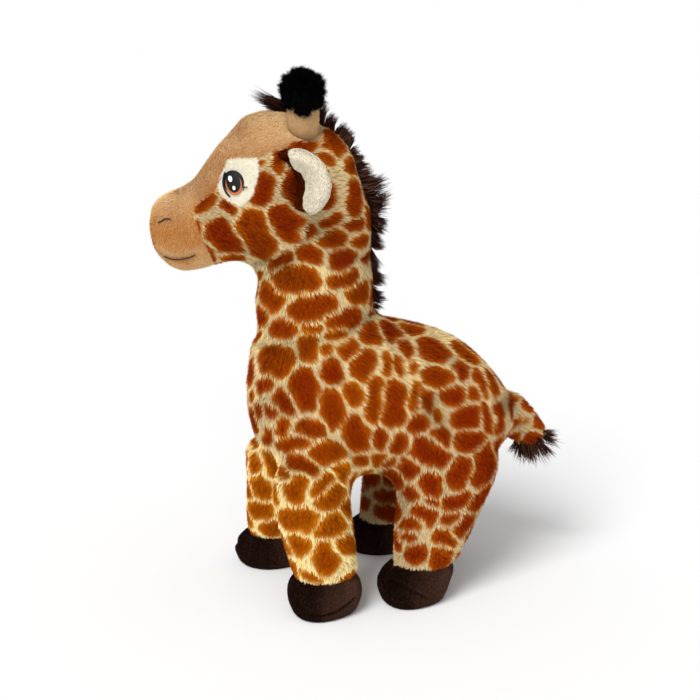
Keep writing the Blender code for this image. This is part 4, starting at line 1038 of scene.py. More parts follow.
    def _labels(self, points: np.ndarray) -> np.ndarray:
        """Returns the number of the nearest CAD body for every point."""
        best = np.full(len(points), 9.0)
        label = np.zeros(len(points), int)
        for number, nodes in enumerate(self.BODIES.values()):
            part = joined_nodes("part", nodes)
            corners = coordinates(part.data)
            low, high = corners.min(0) - 0.012, corners.max(0) + 0.012
            tree = tree_of(part)
            bpy.data.objects.remove(part)
            for i in np.nonzero(((points > low) & (points < high)).all(1))[0]:
                far = tree.find_nearest(Vector(points[i]))[3]
                if far is not None and far < best[i]:
                    best[i], label[i] = far, number
        return label

    def region(self, body: str) -> np.ndarray:
        """Returns which vertices lie on a body."""
        return self.label == list(self.BODIES).index(body)

    def part(self, cut: Cut) -> bpy.types.Object:
        """Returns the mesh of one cut, with the coat's values as attributes."""
        votes = np.sort(self.label[self.faces], axis=1)[:, 1]
        names = list(self.BODIES)
        height = self.points[self.faces, 2].mean(1)
        if cut.name.startswith("neck"):
            chosen = (votes == names.index("neck")) & ((height < 0.238) == (cut.name == "neck_lower"))
        else:
            chosen = votes == names.index(cut.follows or cut.body)
        faces = self.faces[chosen]
        used = np.unique(faces)
        new = np.zeros(len(self.points), int)
        new[used] = np.arange(len(used))
        obj = mesh_object(f"{cut.name}_cloth", self.points[used], new[faces])
        for name, values in self.values.items():
            store(obj.data, name, values[used])
        return obj

    def comb(self) -> None:
        """Sets which way the pile lies and how long it is, body by body."""
        points, normals = self.points, self.normals
        flow = np.tile((0.0, 0.45, -0.9), (len(points), 1))
        pile = np.full(len(points), LONG_PILE.length)
        lean = np.full(len(points), math.radians(LONG_PILE.lean))
        for body, way, share in (
            ("neck", (0.0, 0.15, -1.0), 0.88),
            ("tail", (0.0, 0.75, -0.65), 0.7),
            ("front_left_leg", (0, 0.12, -1), 0.85),
            ("front_right_leg", (0, 0.12, -1), 0.85),
            ("hind_left_leg", (0, 0.15, -1), 0.85),
            ("hind_right_leg", (0, 0.15, -1), 0.85),
        ):
            flow[self.region(body)] = way
            pile[self.region(body)] *= share
        head = self.region("head")
        nose = HEAD_PIVOT + HEAD_FORWARD * 0.10 + np.array((0, 0, 0.290))
        flow[head] = unit(points[head] - nose) + np.array((0, 0, -0.45))
        pile[head] *= 0.7
        legs = np.isin(self.label, [4, 5, 6, 7])
        pile[legs] *= np.clip((points[legs, 2] - 0.02) / 0.03, 0.75, 1.0)
        flow = unit(unit(flow) + 0.22 * waves(points, 0.05, 3))
        for _ in range(24):
            flow = averaged(flow, self.faces)
        for _ in range(6):
            pile = averaged(pile[:, None], self.faces)[:, 0]
        along = unit(flow - (flow * normals).sum(1, keepdims=True) * normals)
        self.along = along
        self.values["aim"] = unit(normals * np.cos(lean)[:, None] + along * np.sin(lean)[:, None])
        self.values["pile"] = pile
        self.values["fill"] = np.where(legs & (points[:, 2] < 0.0275), 0.0, 1.0)
        self.values["room"] = np.full(len(points), 9.0)
        # painted light for the plain fabrics: high where the cloth faces up, and somewhat lower where it faces down
        self.values["upper"] = np.where(normals[:, 2] > 0, normals[:, 2], -0.75 * normals[:, 2])


# --------------------------------------------------------------------------------------
# Pattern
# --------------------------------------------------------------------------------------


class Pattern:
    """The printed patches: rounded cells round patches that were read off the picture."""

    # centre, half length, half width in pixels, and the angle of the length, anticlockwise from the right
    PATCHES = (
        # cheek, nape and the fur round the ear
        (206, 204, 14, 7, 45), (200, 229, 9, 4.5, 90), (229, 207, 10, 5, -40), (226, 241, 22, 13, -49),
        (258, 237, 23, 15, -60), (288, 224, 18, 15, -30), (263, 191, 17, 9, 70), (261, 165, 6, 4, 40),
        (279, 160, 13, 8, 80), (296, 192, 20, 10, -78), (326, 157, 10, 6, -30), (335, 142, 15, 11, -35),
        (306, 144, 14, 5, 0), (351, 168, 12, 6.5, -75), (355, 198, 18, 7.5, -85), (368, 207, 11, 5, -75),
        (332, 222, 12, 5, 25), (356, 226, 10, 6.5, 0), (372, 230, 8, 4, 80), (334, 240, 15, 10, 10),
        (360, 241, 8.5, 6.5, 30), (311, 233, 8, 7, 40),
        # neck
        (312, 254, 14, 10, -20), (343, 260, 14, 9, 30), (281, 262, 14, 7, 30), (366, 257, 7, 5, 60),
        (369, 270, 6, 4, 60), (262, 275, 6, 3.5, 90), (295, 281, 24, 12, 5), (343, 280, 15, 8.5, 15),
        (360, 294, 12, 9, 35), (271, 298, 15, 11, -60), (312, 310, 24, 12, 8), (344, 320, 17, 10, 12),
        (283, 328, 14, 9, 0), (313, 329, 12, 6, 0), (259, 338, 9, 4, 60), (338, 336, 10, 6, 0),
        (371, 315, 6, 4, 30), (371, 336, 12, 10, -70),
        # torso
        (348, 349, 11, 8, 45), (327, 352, 7.5, 7, 0), (309, 350, 15.5, 9.5, 90), (275, 362, 18, 14, -20),
        (332, 372, 14, 9.5, -80), (364, 365, 17, 10, 70), (305, 389, 22, 13, -80), (266, 387, 9, 7.5, 0),
        (283, 400, 16, 8, -50), (254, 398, 8, 4, 90), (260, 410, 6, 4, 90), (272, 411, 7, 5.5, -20),
        (354, 395, 12.5, 9, -65), (332, 410, 20, 11.5, -80), (374, 401, 23, 8.5, 85), (311, 429, 15, 10, -10),
        (294, 443, 19, 8, 10), (284, 428, 10, 6, 80), (269, 438, 8, 5, 60), (356, 435, 18, 13, -70),
        (390, 332, 13, 9, -40), (411, 330, 12, 8, -15), (435, 333, 14, 7.5, -30), (405, 350, 11, 6, -60),
        (434, 352, 16, 9.5, -35), (464, 353, 16, 8.5, -40), (413, 369, 8, 5, 90), (437, 379, 16, 9.5, -10),
        (462, 371, 9.5, 8, -60), (386, 366, 12.5, 6, 90), (399, 368, 11.5, 5, -80), (394, 404, 24, 12, 88),
        (414, 395, 14.5, 6, 90), (453, 395, 12.5, 10.5, -20), (473, 394, 7.5, 6.5, -20), (480, 383, 16, 5.5, -58),
        (491, 384, 15, 4.5, -68), (466, 418, 15, 11, 15), (486, 419, 16, 5.5, -75), (498, 419, 16, 4.5, -85),
        (427, 402, 14, 8, -70), (436, 414, 12, 6, -75), (418, 424, 11, 8, 30), (443, 438, 14, 10, -50),
        (470, 442, 17, 11.5, 0), (379, 440, 12, 8, 75), (399, 443, 12, 9, 60), (361, 459, 9, 6, 0),
        (377, 457, 9, 7, 60), (390, 462, 7, 4, 20),
        # near hind leg
        (486, 463, 24, 10, 72), (460, 473, 17, 11, 60), (430, 452, 22, 12, -20), (409, 469, 12, 9, -40),
        (430, 486, 11.5, 10, 0), (412, 494, 9, 6.5, -30), (457, 502, 16, 8, 30), (480, 498, 17, 6, 55),
        (432, 503, 9, 4, -20), (425, 516, 14, 10, -30), (411, 525, 12, 8, 20), (450, 519, 12, 6.5, 15),
        (464, 525, 13, 6.5, 55), (407, 537, 8, 5.5, 0), (446, 539, 12, 8, -20), (465, 545, 10, 3, 70),
        (417, 555, 11, 8, 15), (443, 561, 12, 9, 10),
        # near front leg
        (329, 453, 18, 12, 0), (303, 466, 17, 8, -25), (273, 464, 14, 9, -60), (296, 489, 13.5, 10.5, 75),
        (324, 485, 15, 7.5, 40), (333, 497, 17, 9, 45), (351, 504, 9, 3.5, -65), (276, 495, 11, 4, 90),
        (299, 520, 20, 12, 0), (334, 525, 17, 11, 35), (355, 529, 9, 4.5, -80), (299, 546, 13, 9, -50),
        (326, 558, 15, 13, 90), (348, 546, 11, 9.5, 0), (355, 561, 7, 4.5, 60), (311, 577, 10, 4, -25),
        # far legs
        (254, 442, 9, 4, -60), (256, 466, 10, 8, 60), (262, 488, 13, 9.5, -50), (258, 510, 12, 9, -10),
        (273, 528, 12, 7.5, 0), (370, 481, 9, 8, 0), (391, 479, 11, 7.5, -15), (387, 496, 12, 8, -15),
        (389, 513, 13, 8, -30), (365, 503, 7, 6, 0),
        # tail
        (510, 402, 11, 9, 60), (516, 421, 13, 8, 30), (532, 438, 12, 8, 20), (537, 414, 8, 4, -55),
        (509, 437, 6, 4, -40),
    )
    # painted shade where the picture shows shadow, as beside the ear, under the jaw and on the far hind leg: centre,
    # half width, share
    DARK = (
        (299, 190, 16, 0.8), (281, 264, 14, 0.5), (428, 403, 12, 0.45), (437, 418, 9, 0.4), (504, 402, 10, 0.5),
        (380, 498, 26, 0.55), (252, 334, 9, 0.3), (283, 402, 11, 0.2), (298, 279, 12, 0.2), (262, 272, 9, 0.3),
        (296, 352, 9, 0.25), (270, 342, 8, 0.3), (263, 408, 10, 0.2), (405, 470, 9, 0.25), (403, 500, 9, 0.25),
        (300, 428, 10, 0.15), (430, 440, 10, 0.15), (336, 446, 8, 0.12), (322, 232, 9, 0.25), (352, 218, 9, 0.15),
    )
    # distance between filled-in patches, their radius, and how far lines waver
    GAP = 16.0 * MM
    USUAL = 9.2 * MM
    WOBBLE = 1.0 * MM
    # how round the corners are, how far a patch reaches past its read outline, and how square it is
    ROUNDING = 0.5 * MM
    BORDER = 3.0 * MM
    POWER = 2.5
    # size of a pixel on the toy, and the most that a read patch is stretched where the surface turns away
    PIXEL = 0.74 * MM
    STRETCH = 1.7

    def __init__(self, coat: Coat) -> None:
        """Reads the near side's patches and completes the rest.

        Args:
            coat: the coat that they lie on.
        """
        self.coat = coat
        self.seeds: list[np.ndarray] = []
        self.shapes: list[np.ndarray] = []
        self._read()
        self._complete()
        log.info("pattern: %d patches", len(self.seeds))

    def _read(self) -> None:
        """Lays the listed patches on the coat, each with its own length and width there."""
        eye = np.array(LENS.eye)
        for x, y, length, width, angle in self.PATCHES:
            place, normal, _, _ = self.coat.tree.ray_cast(Vector(eye), Vector(LENS.ray(x, y)))
            if place is None:
                continue
            place, normal = np.array(place), np.array(normal)
            turn, sides = math.radians(angle), []
            for reach, way in ((length, turn), (width, turn + math.pi / 2)):
                ray = LENS.ray(x + reach * math.cos(way), y - reach * math.sin(way))
                flat = (place - eye) @ normal / min(ray @ normal, -0.25)
                side = eye + ray * flat - place
                side -= (side @ normal) * normal
                most = self.STRETCH * reach * self.PIXEL
                sides.append(side * min(1.0, most / max(np.linalg.norm(side), 1e-6)))
            thick = normal * 1.4 * max(np.linalg.norm(side) for side in sides)
            self.seeds.append(place)
            self.shapes.append(np.stack([*sides, thick], axis=1))

    def _complete(self) -> None:
        """Adds the far side's patches by mirroring, then fills what is left at an even spacing."""
        rng, coat = np.random.default_rng(41), self.coat
        for place, shape in list(zip(self.seeds, self.shapes)):
            pivot, normal = (HEAD_PIVOT, HEAD_LEFT) if place[2] > THROAT_Z else (MIDDLE, LEFT)
            spot = np.array(coat.tree.find_nearest(Vector(mirrored(place, pivot, normal)))[0])
            if np.linalg.norm(np.array(self.seeds) - spot, axis=1).min() > 0.6 * self.GAP:
                self.seeds.append(spot)
                self.shapes.append(shape - 2 * np.outer(normal, normal @ shape))
        seen = self._seen()
        for i in rng.permutation(len(coat.points))[:9000]:
            far = self.GAP * (1.1 if seen[i] else 1.0)
            if np.linalg.norm(np.array(self.seeds) - coat.points[i], axis=1).min() > far:
                self.seeds.append(coat.points[i])
                self.shapes.append(np.eye(3) * self.USUAL)

    def _seen(self) -> np.ndarray:
        """Returns which vertices face the camera."""
        return (self.coat.normals @ -LENS.axes()[0]) > 0.15

    def paint(self) -> None:
        """Writes the coat's edge, tint and shade values: distance to a cream line, patch colour with painted light and
        shade on the legs, and painted shade in shadowed spots and along folds.
        """
        coat, seeds = self.coat, np.array(self.seeds)
        tints_and_painted_light = np.random.default_rng(47).uniform(0, 0.6, len(seeds))
        # painted light and shade in the tints: the front legs' patches lighter, the hind legs' darker; the head's
        # patches a little darker
        tints_and_painted_light += np.where((seeds[:, 2] < 0.11) & (seeds[:, 1] < -0.01), 0.72, 0.0)
        tints_and_painted_light -= np.where(seeds[:, 2] > 0.25, 0.15, 0.0)
        tints_and_painted_light -= np.where((seeds[:, 2] < 0.14) & (seeds[:, 1] > 0.0), 0.35, 0.0)
        turns = np.linalg.inv(np.array(self.shapes))
        shown = coat.points + coat.along * (0.5 * coat.values["pile"])[:, None]
        shown = shown + self.WOBBLE * waves(shown, 0.02, 5) + 0.5 * self.WOBBLE * waves(shown, 0.009, 6)
        edge, tint = np.zeros(len(shown)), np.zeros(len(shown))
        for first in range(0, len(shown), 3000):
            rows = slice(first, first + 3000)
            away = shown[rows, None, :] - seeds[None]
            apart = np.linalg.norm(away, axis=2)
            close = np.argsort(apart, axis=1)[:, :12]
            some = np.take_along_axis(away, close[:, :, None], axis=1)
            local = np.abs(np.einsum("nkij,nkj->nki", turns[close], some)) ** self.POWER
            share = local.sum(axis=2) ** (1 / self.POWER) + 1e-6
            plain = np.take_along_axis(apart, close, axis=1) + 1e-5
            order = np.argsort(share, axis=1)
            share = np.take_along_axis(share, order, axis=1)
            plain = np.take_along_axis(plain, order, axis=1)
            own = plain[:, 0] / share[:, 0] * (1 - share[:, 0]) + self.BORDER
            total = np.exp(-own / self.ROUNDING)
            for k in range(1, 6):
                line = (share[:, k] - share[:, 0]) / (share[:, 0] / plain[:, 0] + share[:, k] / plain[:, k])
                total += np.exp(-line / self.ROUNDING)
            edge[rows] = -self.ROUNDING * np.log(np.maximum(total, 1e-12))
            tint[rows] = tints_and_painted_light[np.take_along_axis(close, order, axis=1)[:, 0]]
        coat.values["edge"], coat.values["tint"] = edge / MM, tint
        spots, dusk = LENS.project(coat.points), np.zeros(len(shown))
        for x, y, wide, amount in self.DARK:
            near = np.clip(1.4 - np.hypot(spots[:, 0] - x, spots[:, 1] - y) / wide, 0, 1)
            dusk = np.maximum(dusk, near * amount * self._seen())
        head = coat.points[:, 2] > THROAT_Z
        on_head, on_body = near_side(coat.points, HEAD_PIVOT, HEAD_LEFT), near_side(coat.points, MIDDLE, LEFT)
        places = LENS.project(np.where(head[:, None], on_head, on_body))
        # painted shade along the first four folds, darker where the fold is deeper
        for depth, wide, line in Coat.FOLDS[:4]:
            shade = 0.13 * depth * np.exp(-((line_distance(places, line) / (0.8 * wide)) ** 2))
            dusk = np.maximum(dusk, shade)
        coat.values["dusk"] = dusk


# --------------------------------------------------------------------------------------
# Face
# --------------------------------------------------------------------------------------


def sweep(name: str, line: np.ndarray, radius: float, sides: int = 8) -> bpy.types.Object:
    """Returns a closed round thread along a line.

    Args:
        name: the piece's name.
        line: points of its centre line.
        radius: radius in the middle; the ends taper.
        sides: facets round it.
    """
    line = np.asarray(line, float)
    ways = unit(np.gradient(line, axis=0))
    across = unit(np.cross(ways, ways[:, [1, 2, 0]] + 0.3))
    over = np.cross(ways, across)
    turn = np.linspace(0, 2 * math.pi, sides, endpoint=False)
    rings = []
    for k in range(len(line)):
        wide = radius * (0.55 if k in (0, len(line) - 1) else 1.0)
        rings.append(line[k] + wide * (np.cos(turn)[:, None] * across[k] + np.sin(turn)[:, None] * over[k]))
    points = np.vstack(rings + [line[:1], line[-1:]])
    count, faces = len(line), []
    for k in range(count - 1):
        for s in range(sides):
            t = (s + 1) % sides
            faces.append((k * sides + s, k * sides + t, (k + 1) * sides + t, (k + 1) * sides + s))
    for s in range(sides):
        t = (s + 1) % sides
        faces.append((count * sides, t, s))
        faces.append((count * sides + 1, (count - 1) * sides + s, (count - 1) * sides + t))
    return mesh_object(name, points, faces)


def finer_line(line: tuple, step: float = 1.0) -> np.ndarray:
    """Returns an open 2-D line with extra points, rounded at its corners."""
    line = np.array(line, float)
    for _ in range(2):
        cut = [line[0]]
        for a, b in zip(line[:-1], line[1:]):
            cut += [0.75 * a + 0.25 * b, 0.25 * a + 0.75 * b]
        line = np.array(cut + [line[-1]])
    length = np.concatenate([[0], np.cumsum(np.linalg.norm(np.diff(line, axis=0), axis=1))])
    at = np.linspace(0, length[-1], max(3, int(length[-1] / step) + 1))
    return np.stack([np.interp(at, length, line[:, k]) for k in (0, 1)], axis=1)


class Drape:
    """Lays picture shapes on the near side of the head, and their mirror images on the far side."""

    def __init__(self, tree: BVHTree) -> None:
        """Takes the tree of the head's cloth."""
        self.tree = tree

    def lay(self, places: np.ndarray, height: float, side: str) -> np.ndarray:
        """Returns points over the cloth for picture places.

        Args:
            places: picture places, in pixels.
            height: height over the cloth, one or one per place.
            side: "left" or "right".
        """
        heights, points = np.broadcast_to(height, len(places)), []
        for (x, y), high in zip(places, heights):
            place, normal, _, _ = self.tree.ray_cast(Vector(LENS.eye), Vector(LENS.ray(x, y)))
            points.append(np.array(place) + np.array(normal) * high)
        points = np.array(points)
        return points if side == "left" else mirrored(points, HEAD_PIVOT, HEAD_LEFT)

    def oval(
        self, name: str, centre: tuple, radii: tuple, tilt: float, height: float, side: str
    ) -> bpy.types.Object:
        """Returns a slightly domed embroidered oval.

        Args:
            name: the piece's name.
            centre: its centre in the picture.
            radii: half its width and height, in pixels.
            tilt: turn from upright, in degrees, top towards the nose.
            height: height over the cloth at its rim.
            side: "left" or "right".
        """
        turn = np.linspace(0, 2 * math.pi, 40, endpoint=False)
        lean = math.radians(tilt)
        places, heights = [np.array(centre)[None]], [np.array([height + 0.25 * MM])]
        for share, rise in ((0.5, 0.2), (0.85, 0.1), (1.0, 0.0), (1.0, -0.9)):
            x, y = radii[0] * share * np.cos(turn), radii[1] * share * np.sin(turn)
            across = centre[0] + x * math.cos(lean) + y * math.sin(lean)
            down = centre[1] - x * math.sin(lean) + y * math.cos(lean)
            places.append(np.stack([across, down], axis=1))
            heights.append(np.full(len(turn), height + rise * MM))
        points = self.lay(np.vstack(places), np.concatenate(heights), side)
        count, faces = len(turn), []
        for s in range(count):
            t = (s + 1) % count
            faces.append((0, 1 + t, 1 + s))
            for ring in range(3):
                a = 1 + ring * count
                faces.append((a + s, a + t, a + count + t, a + count + s))
        if side == "right":
            faces = [f[::-1] for f in faces]
        return mesh_object(name, points, faces)

    def stroke(self, name: str, line: tuple, width: float, height: float, side: str) -> bpy.types.Object:
        """Returns a thread laid along a picture line."""
        return sweep(name, self.lay(finer_line(line), height, side), width / 2)


class Face:
    """Embroidered eyes, nostrils and mouth."""

    TILT = 11.0
    OVALS = (
        ("outline", (234.4, 181.9), (10.0, 11.6), "black_embroidery_thread", Tone.THREAD, 1.7),
        ("iris", (235.0, 184.9), (8.2, 10.4), "copper_embroidery_thread", Tone.IRIS, 2.0),
        ("pupil", (234.8, 182.7), (7.0, 10.2), "black_embroidery_thread", Tone.THREAD, 2.3),
        ("glint_upper", (231.9, 179.2), (1.9, 3.0), "white_embroidery_thread", Tone.HIGHLIGHT, 2.7),
        ("glint_lower", (235.4, 188.0), (1.4, 2.1), "white_embroidery_thread", Tone.HIGHLIGHT, 2.7),
    )
    STROKES = (
        ("lid", ((226.5, 172.5), (224.3, 179), (224.4, 186), (226.5, 192), (231, 197)), 1.5),
        ("lash", ((243.2, 184.5), (245.2, 187.6), (248.4, 186.9)), 1.0),
        ("lash_lower", ((245.2, 187.4), (244.3, 191.2)), 0.8),
    )
    STITCHES = (
        ("nostril", ((158.8, 222.8), (162.5, 221.3), (166, 218.8), (171, 219.3)), 1.1),
        ("mouth", ((165, 255.5), (170, 258), (177, 259.3), (187, 258), (195.5, 254)), 0.9),
    )
    EYE_OUTLINE = tuple(
        (
            234.6 + 10.5 * math.cos(t) + 13.4 * math.sin(t) * 0.19,
            183.2 + 13.0 * math.sin(t) - 10.5 * math.cos(t) * 0.19,
        )
        for t in (k * math.pi / 12 for k in range(24))
    )
    FACE = (
        (322, 40), (322, 142), (290, 142), (287, 147.5), (267, 154), (257.5, 158.3), (240, 158), (226.7, 160),
        (221, 170),
        (216, 189), (213, 193), (204, 199), (194, 207), (193, 215), (197, 227), (204, 243), (213, 260), (218, 268),
        (219, 300), (100, 300), (100, 40),
    )
    PATCH = (
        (226.7, 160), (242, 158.5), (257.5, 158.3), (258, 173), (253, 193), (247, 201), (240, 206.7), (230, 203),
        (223, 198), (216, 189), (220, 175),
    )
    PX = 0.73

    def __init__(self, coat: Coat) -> None:
        """Takes the coat that the features are sewn on."""
        self.coat = coat

    @classmethod
    def rooms(cls, points: np.ndarray) -> dict[str, np.ndarray]:
        """Returns the room, in millimetres, that each fabric has at some points of the coat."""
        places = LENS.project(near_side(points, HEAD_PIVOT, HEAD_LEFT))
        face, patch = room_inside(places, cls.FACE) * cls.PX, room_inside(places, cls.PATCH) * cls.PX
        eye = room_inside(places, cls.EYE_OUTLINE) * cls.PX
        face = np.minimum(face, ((points - HEAD_PIVOT) @ HEAD_FORWARD) / MM + 12)
        return {
            "tan": np.minimum(face, -patch),
            "ivory": np.minimum(patch, -eye - 0.3),
            "long": np.minimum(-face, -patch),
        }

    def build(self) -> None:
        """Sews the features on both sides."""
        drape = Drape(self.coat.tree)
        for side in ("left", "right"):
            made = []
            for name, centre, radii, finish, tone, height in self.OVALS:
                piece = drape.oval(f"eye_{side}_{name}", centre, radii, self.TILT, height * MM, side)
                piece.data.materials.append(ThreadFinish(finish, tone).material())
                made.append(piece)
            for name, line, width in self.STROKES:
                piece = drape.stroke(f"eye_{side}_{name}", line, width * MM, 1.9 * MM, side)
                piece.data.materials.append(ThreadFinish("black_embroidery_thread", Tone.THREAD).material())
                made.append(piece)
            for name, line, width in self.STITCHES:
                piece = drape.stroke(f"{name}_stitch_{side}", line, width * MM, 1.35 * MM, side)
                piece.data.materials.append(ThreadFinish("dark_brown_sewing_thread", Tone.STITCH).material())
                made.append(piece)
            for piece in made:
                log.info("%s: %d faces", piece.name, len(piece.data.polygons))
                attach(piece, "head")
            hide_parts(f"eye_{side}")


# --------------------------------------------------------------------------------------
# Ears, horns, mane, tuft and hooves
# --------------------------------------------------------------------------------------


def furred(
    loom: Loom, obj: bpy.types.Object, body: str, finish: PileFinish, nodes: tuple[str, ...], flow: np.ndarray,
    seed: int, share: float = 1.0, extra: dict[str, np.ndarray] | None = None,
) -> None:
    """Grows pile over a whole small piece and seats both.

    Args:
        loom: the pile's nodes.
        obj: the cloth.
        body: CAD body that both ride.
        finish: the fabric.
        nodes: CAD nodes that they stand for.
        flow: direction that the pile is brushed in.
        seed: seed of the pile.
        share: share of the finish's density.
        extra: further values per vertex.
    """
    points, normals = coordinates(obj.data), vertex_normals(obj.data)
    flow = unit(np.broadcast_to(np.asarray(flow, float), points.shape) + 0.15 * waves(points, 0.02, seed))
    along = unit(flow - (flow * normals).sum(1, keepdims=True) * normals)
    lean = math.radians(finish.lean)
    values = {
        "aim": unit(normals * math.cos(lean) + along * math.sin(lean)),
        "pile": np.full(len(points), finish.length),
        "fill": np.ones(len(points)),
        "room": np.full(len(points), 9.0),
        "upper": np.full(len(points), 0.45),
    }
    for name, value in (values | (extra or {})).items():
        store(obj.data, name, value)
    obj.data.materials.append(finish.material())
    log.info("%s: %d vertices on %s", obj.name, len(points), body)
    for piece in (obj, *loom.grow(f"{obj.name}_{len(obj.data.materials)}_pile", obj, finish, seed, share)):
        if piece.parent is None:
            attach(piece, body)
        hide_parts(*nodes)


@dataclass
class Ear:
    """A stuffed ear: patterned back, and a cup lined in cream, with patterned pile at its root darkened by painted
    shade.
    """

    side: str
    pivot: tuple[float, float, float]
    along: tuple[float, float, float]
    upward: tuple[float, float, float]
    forward: tuple[float, float, float]
    # the lining's outline, read off the left ear in the picture, in pixels
    LINING = (
        (288.5, 152), (292, 148), (300, 146), (309, 150), (319, 157), (326, 167), (331.5, 178), (333.5, 190),
        (333.5, 201), (329, 210), (322, 216), (315.5, 219), (309, 215), (303.5, 207), (303.5, 198), (306, 189),
        (305.5, 181), (301.5, 173), (294, 168), (289.5, 160),
    )
    # how far the stuffing lifts the lining, and the distance from its edge, in mm, where it is full
    PUFF = 2.4 * MM
    PUFF_ROOM = 4.5
    # pile on the back and round the ear's root
    BACK_PILE = 2.4 * MM
    ROOT_PILE = 3.0 * MM

    def frame_axes(self) -> np.ndarray:
        """Returns the ear's along, upward and forward directions as rows."""
        return np.array((self.along, self.upward, self.forward))

    def as_left(self, points: np.ndarray) -> np.ndarray:
        """Returns this ear's points moved to the same places of the left ear."""
        left = EARS[0]
        local = (points - np.array(self.pivot)) @ self.frame_axes().T
        return np.array(left.pivot) + local @ left.frame_axes()

    def build(self, loom: Loom) -> None:
        """Makes the back and the lining.

        Args:
            loom: the pile's nodes.
        """
        body, way = f"{self.side}_ear", np.array(self.along)
        back = worked_cloth(f"ear_{self.side}_back", (f"ear_{self.side}_outer",), 1.5 * MM, 1.2 * MM, smooth=4)
        points = coordinates(back.data)
        values = {
            "edge": 4.0 * np.ones(len(points)) + 4.0 * waves(points, 0.025, 9)[:, 0],
            "tint": np.full(len(points), 0.5), "dusk": np.zeros(len(points)),
            "pile": np.full(len(points), self.BACK_PILE),
        }
        furred(loom, back, body, LONG_PILE, (f"ear_{self.side}_outer",), way, 61, 1.6, values)
        node = (f"ear_{self.side}_lining",)
        lining = worked_cloth(f"ear_{self.side}_lining_cloth", node, 1.2 * MM, -0.4 * MM, smooth=6)
        points = coordinates(lining.data)
        room = room_inside(LENS.project(self.as_left(points)), self.LINING) * Face.PX
        puff = self.PUFF * np.clip(room / self.PUFF_ROOM, 0, 1) ** 0.5
        move(lining, points + vertex_normals(lining.data) * puff[:, None])
        # painted shade on the lining: slight all over, more towards its lower part
        low = np.clip((points[:, 2].mean() + 0.012 - points[:, 2]) / 0.036, 0, 1)
        pale = {"room": room, "dusk": 0.02 + 0.17 * low}
        furred(loom, lining, body, LINING_PILE, node, (0, 0.1, -1), 62, 1.0, pale)
        # painted shade: the patterned pile round the lining, at the ear's root, is darkened far
        dark = {
            "room": -room, "edge": np.full(len(points), 9.0), "tint": np.full(len(points), 0.3),
            "dusk": np.full(len(points), 0.72), "pile": np.full(len(points), self.ROOT_PILE),
        }
        furred(loom, lining, body, LONG_PILE, node, way, 63, 1.2, dark)
        for face in lining.data.polygons:
            face.material_index = int(room[list(face.vertices)].mean() < 0)


EARS = (
    Ear(
        "left", pivot=(0.04021, -0.06706, 0.328), along=(0.95469, 0.28457, 0.08706),
        upward=(0.00779, -0.31634, 0.94861), forward=(0.29749, -0.90495, -0.30423),
    ),
    Ear(
        "right", pivot=(-0.04169, -0.04434, 0.328), along=(-0.67176, 0.73563, 0.08706),
        upward=(-0.1696, -0.26715, 0.94861), forward=(-0.72109, -0.62248, -0.30423),
    ),
)


@dataclass
class Horn:
    """A stuffed tan stem with a black pompom."""

    loom: Loom
    side: str

    def build(self) -> None:
        """Makes the stem and the pompom."""
        body = f"{self.side}_horn"
        stem = worked_cloth(f"horn_{self.side}_stem", (f"horn_{self.side}",), 1.6 * MM, 1.4 * MM, smooth=4)
        points = coordinates(stem.data)
        light = {"upper": np.full(len(points), 0.85)}
        furred(self.loom, stem, body, TAN_PILE, (f"horn_{self.side}",), (0, 0, 1), 71, 1.0, light)
        ball = worked_cloth(f"pompom_{self.side}_core", (f"pompom_{self.side}",), 2.0 * MM, 3.6 * MM, smooth=3)
        points = coordinates(ball.data)
        lower = np.clip((points[:, 2].mean() - points[:, 2]) / 0.008, 0, 1)
        spread = unit((points - points.mean(0)) * (1, 1, 0))
        facing = np.clip(spread @ unit(np.array((1.0, -0.3, 0.0))), 0, 1) ** 10
        ragged = 1 + 0.35 * waves(points, 0.006, 17)[:, 0] + 0.7 * lower * facing
        droop = 0.1 + lower * (0.7 + 1.4 * facing)
        aim = unit(vertex_normals(ball.data) + np.array((0, 0, -1.0)) * droop[:, None])
        furred(
            self.loom, ball, body, POMPOM_PILE, (f"pompom_{self.side}",), (0, 0, -1), 72, 1.0,
            {"pile": POMPOM_PILE.length * ragged, "aim": aim},
        )


def on_plane(x: float, y: float, pivot: np.ndarray, normal: np.ndarray) -> np.ndarray:
    """Returns where the picture place's ray meets a plane."""
    eye, way = np.array(LENS.eye), LENS.ray(x, y)
    return eye + way * ((pivot - eye) @ normal) / (way @ normal)


SUNK = 4.0 * MM


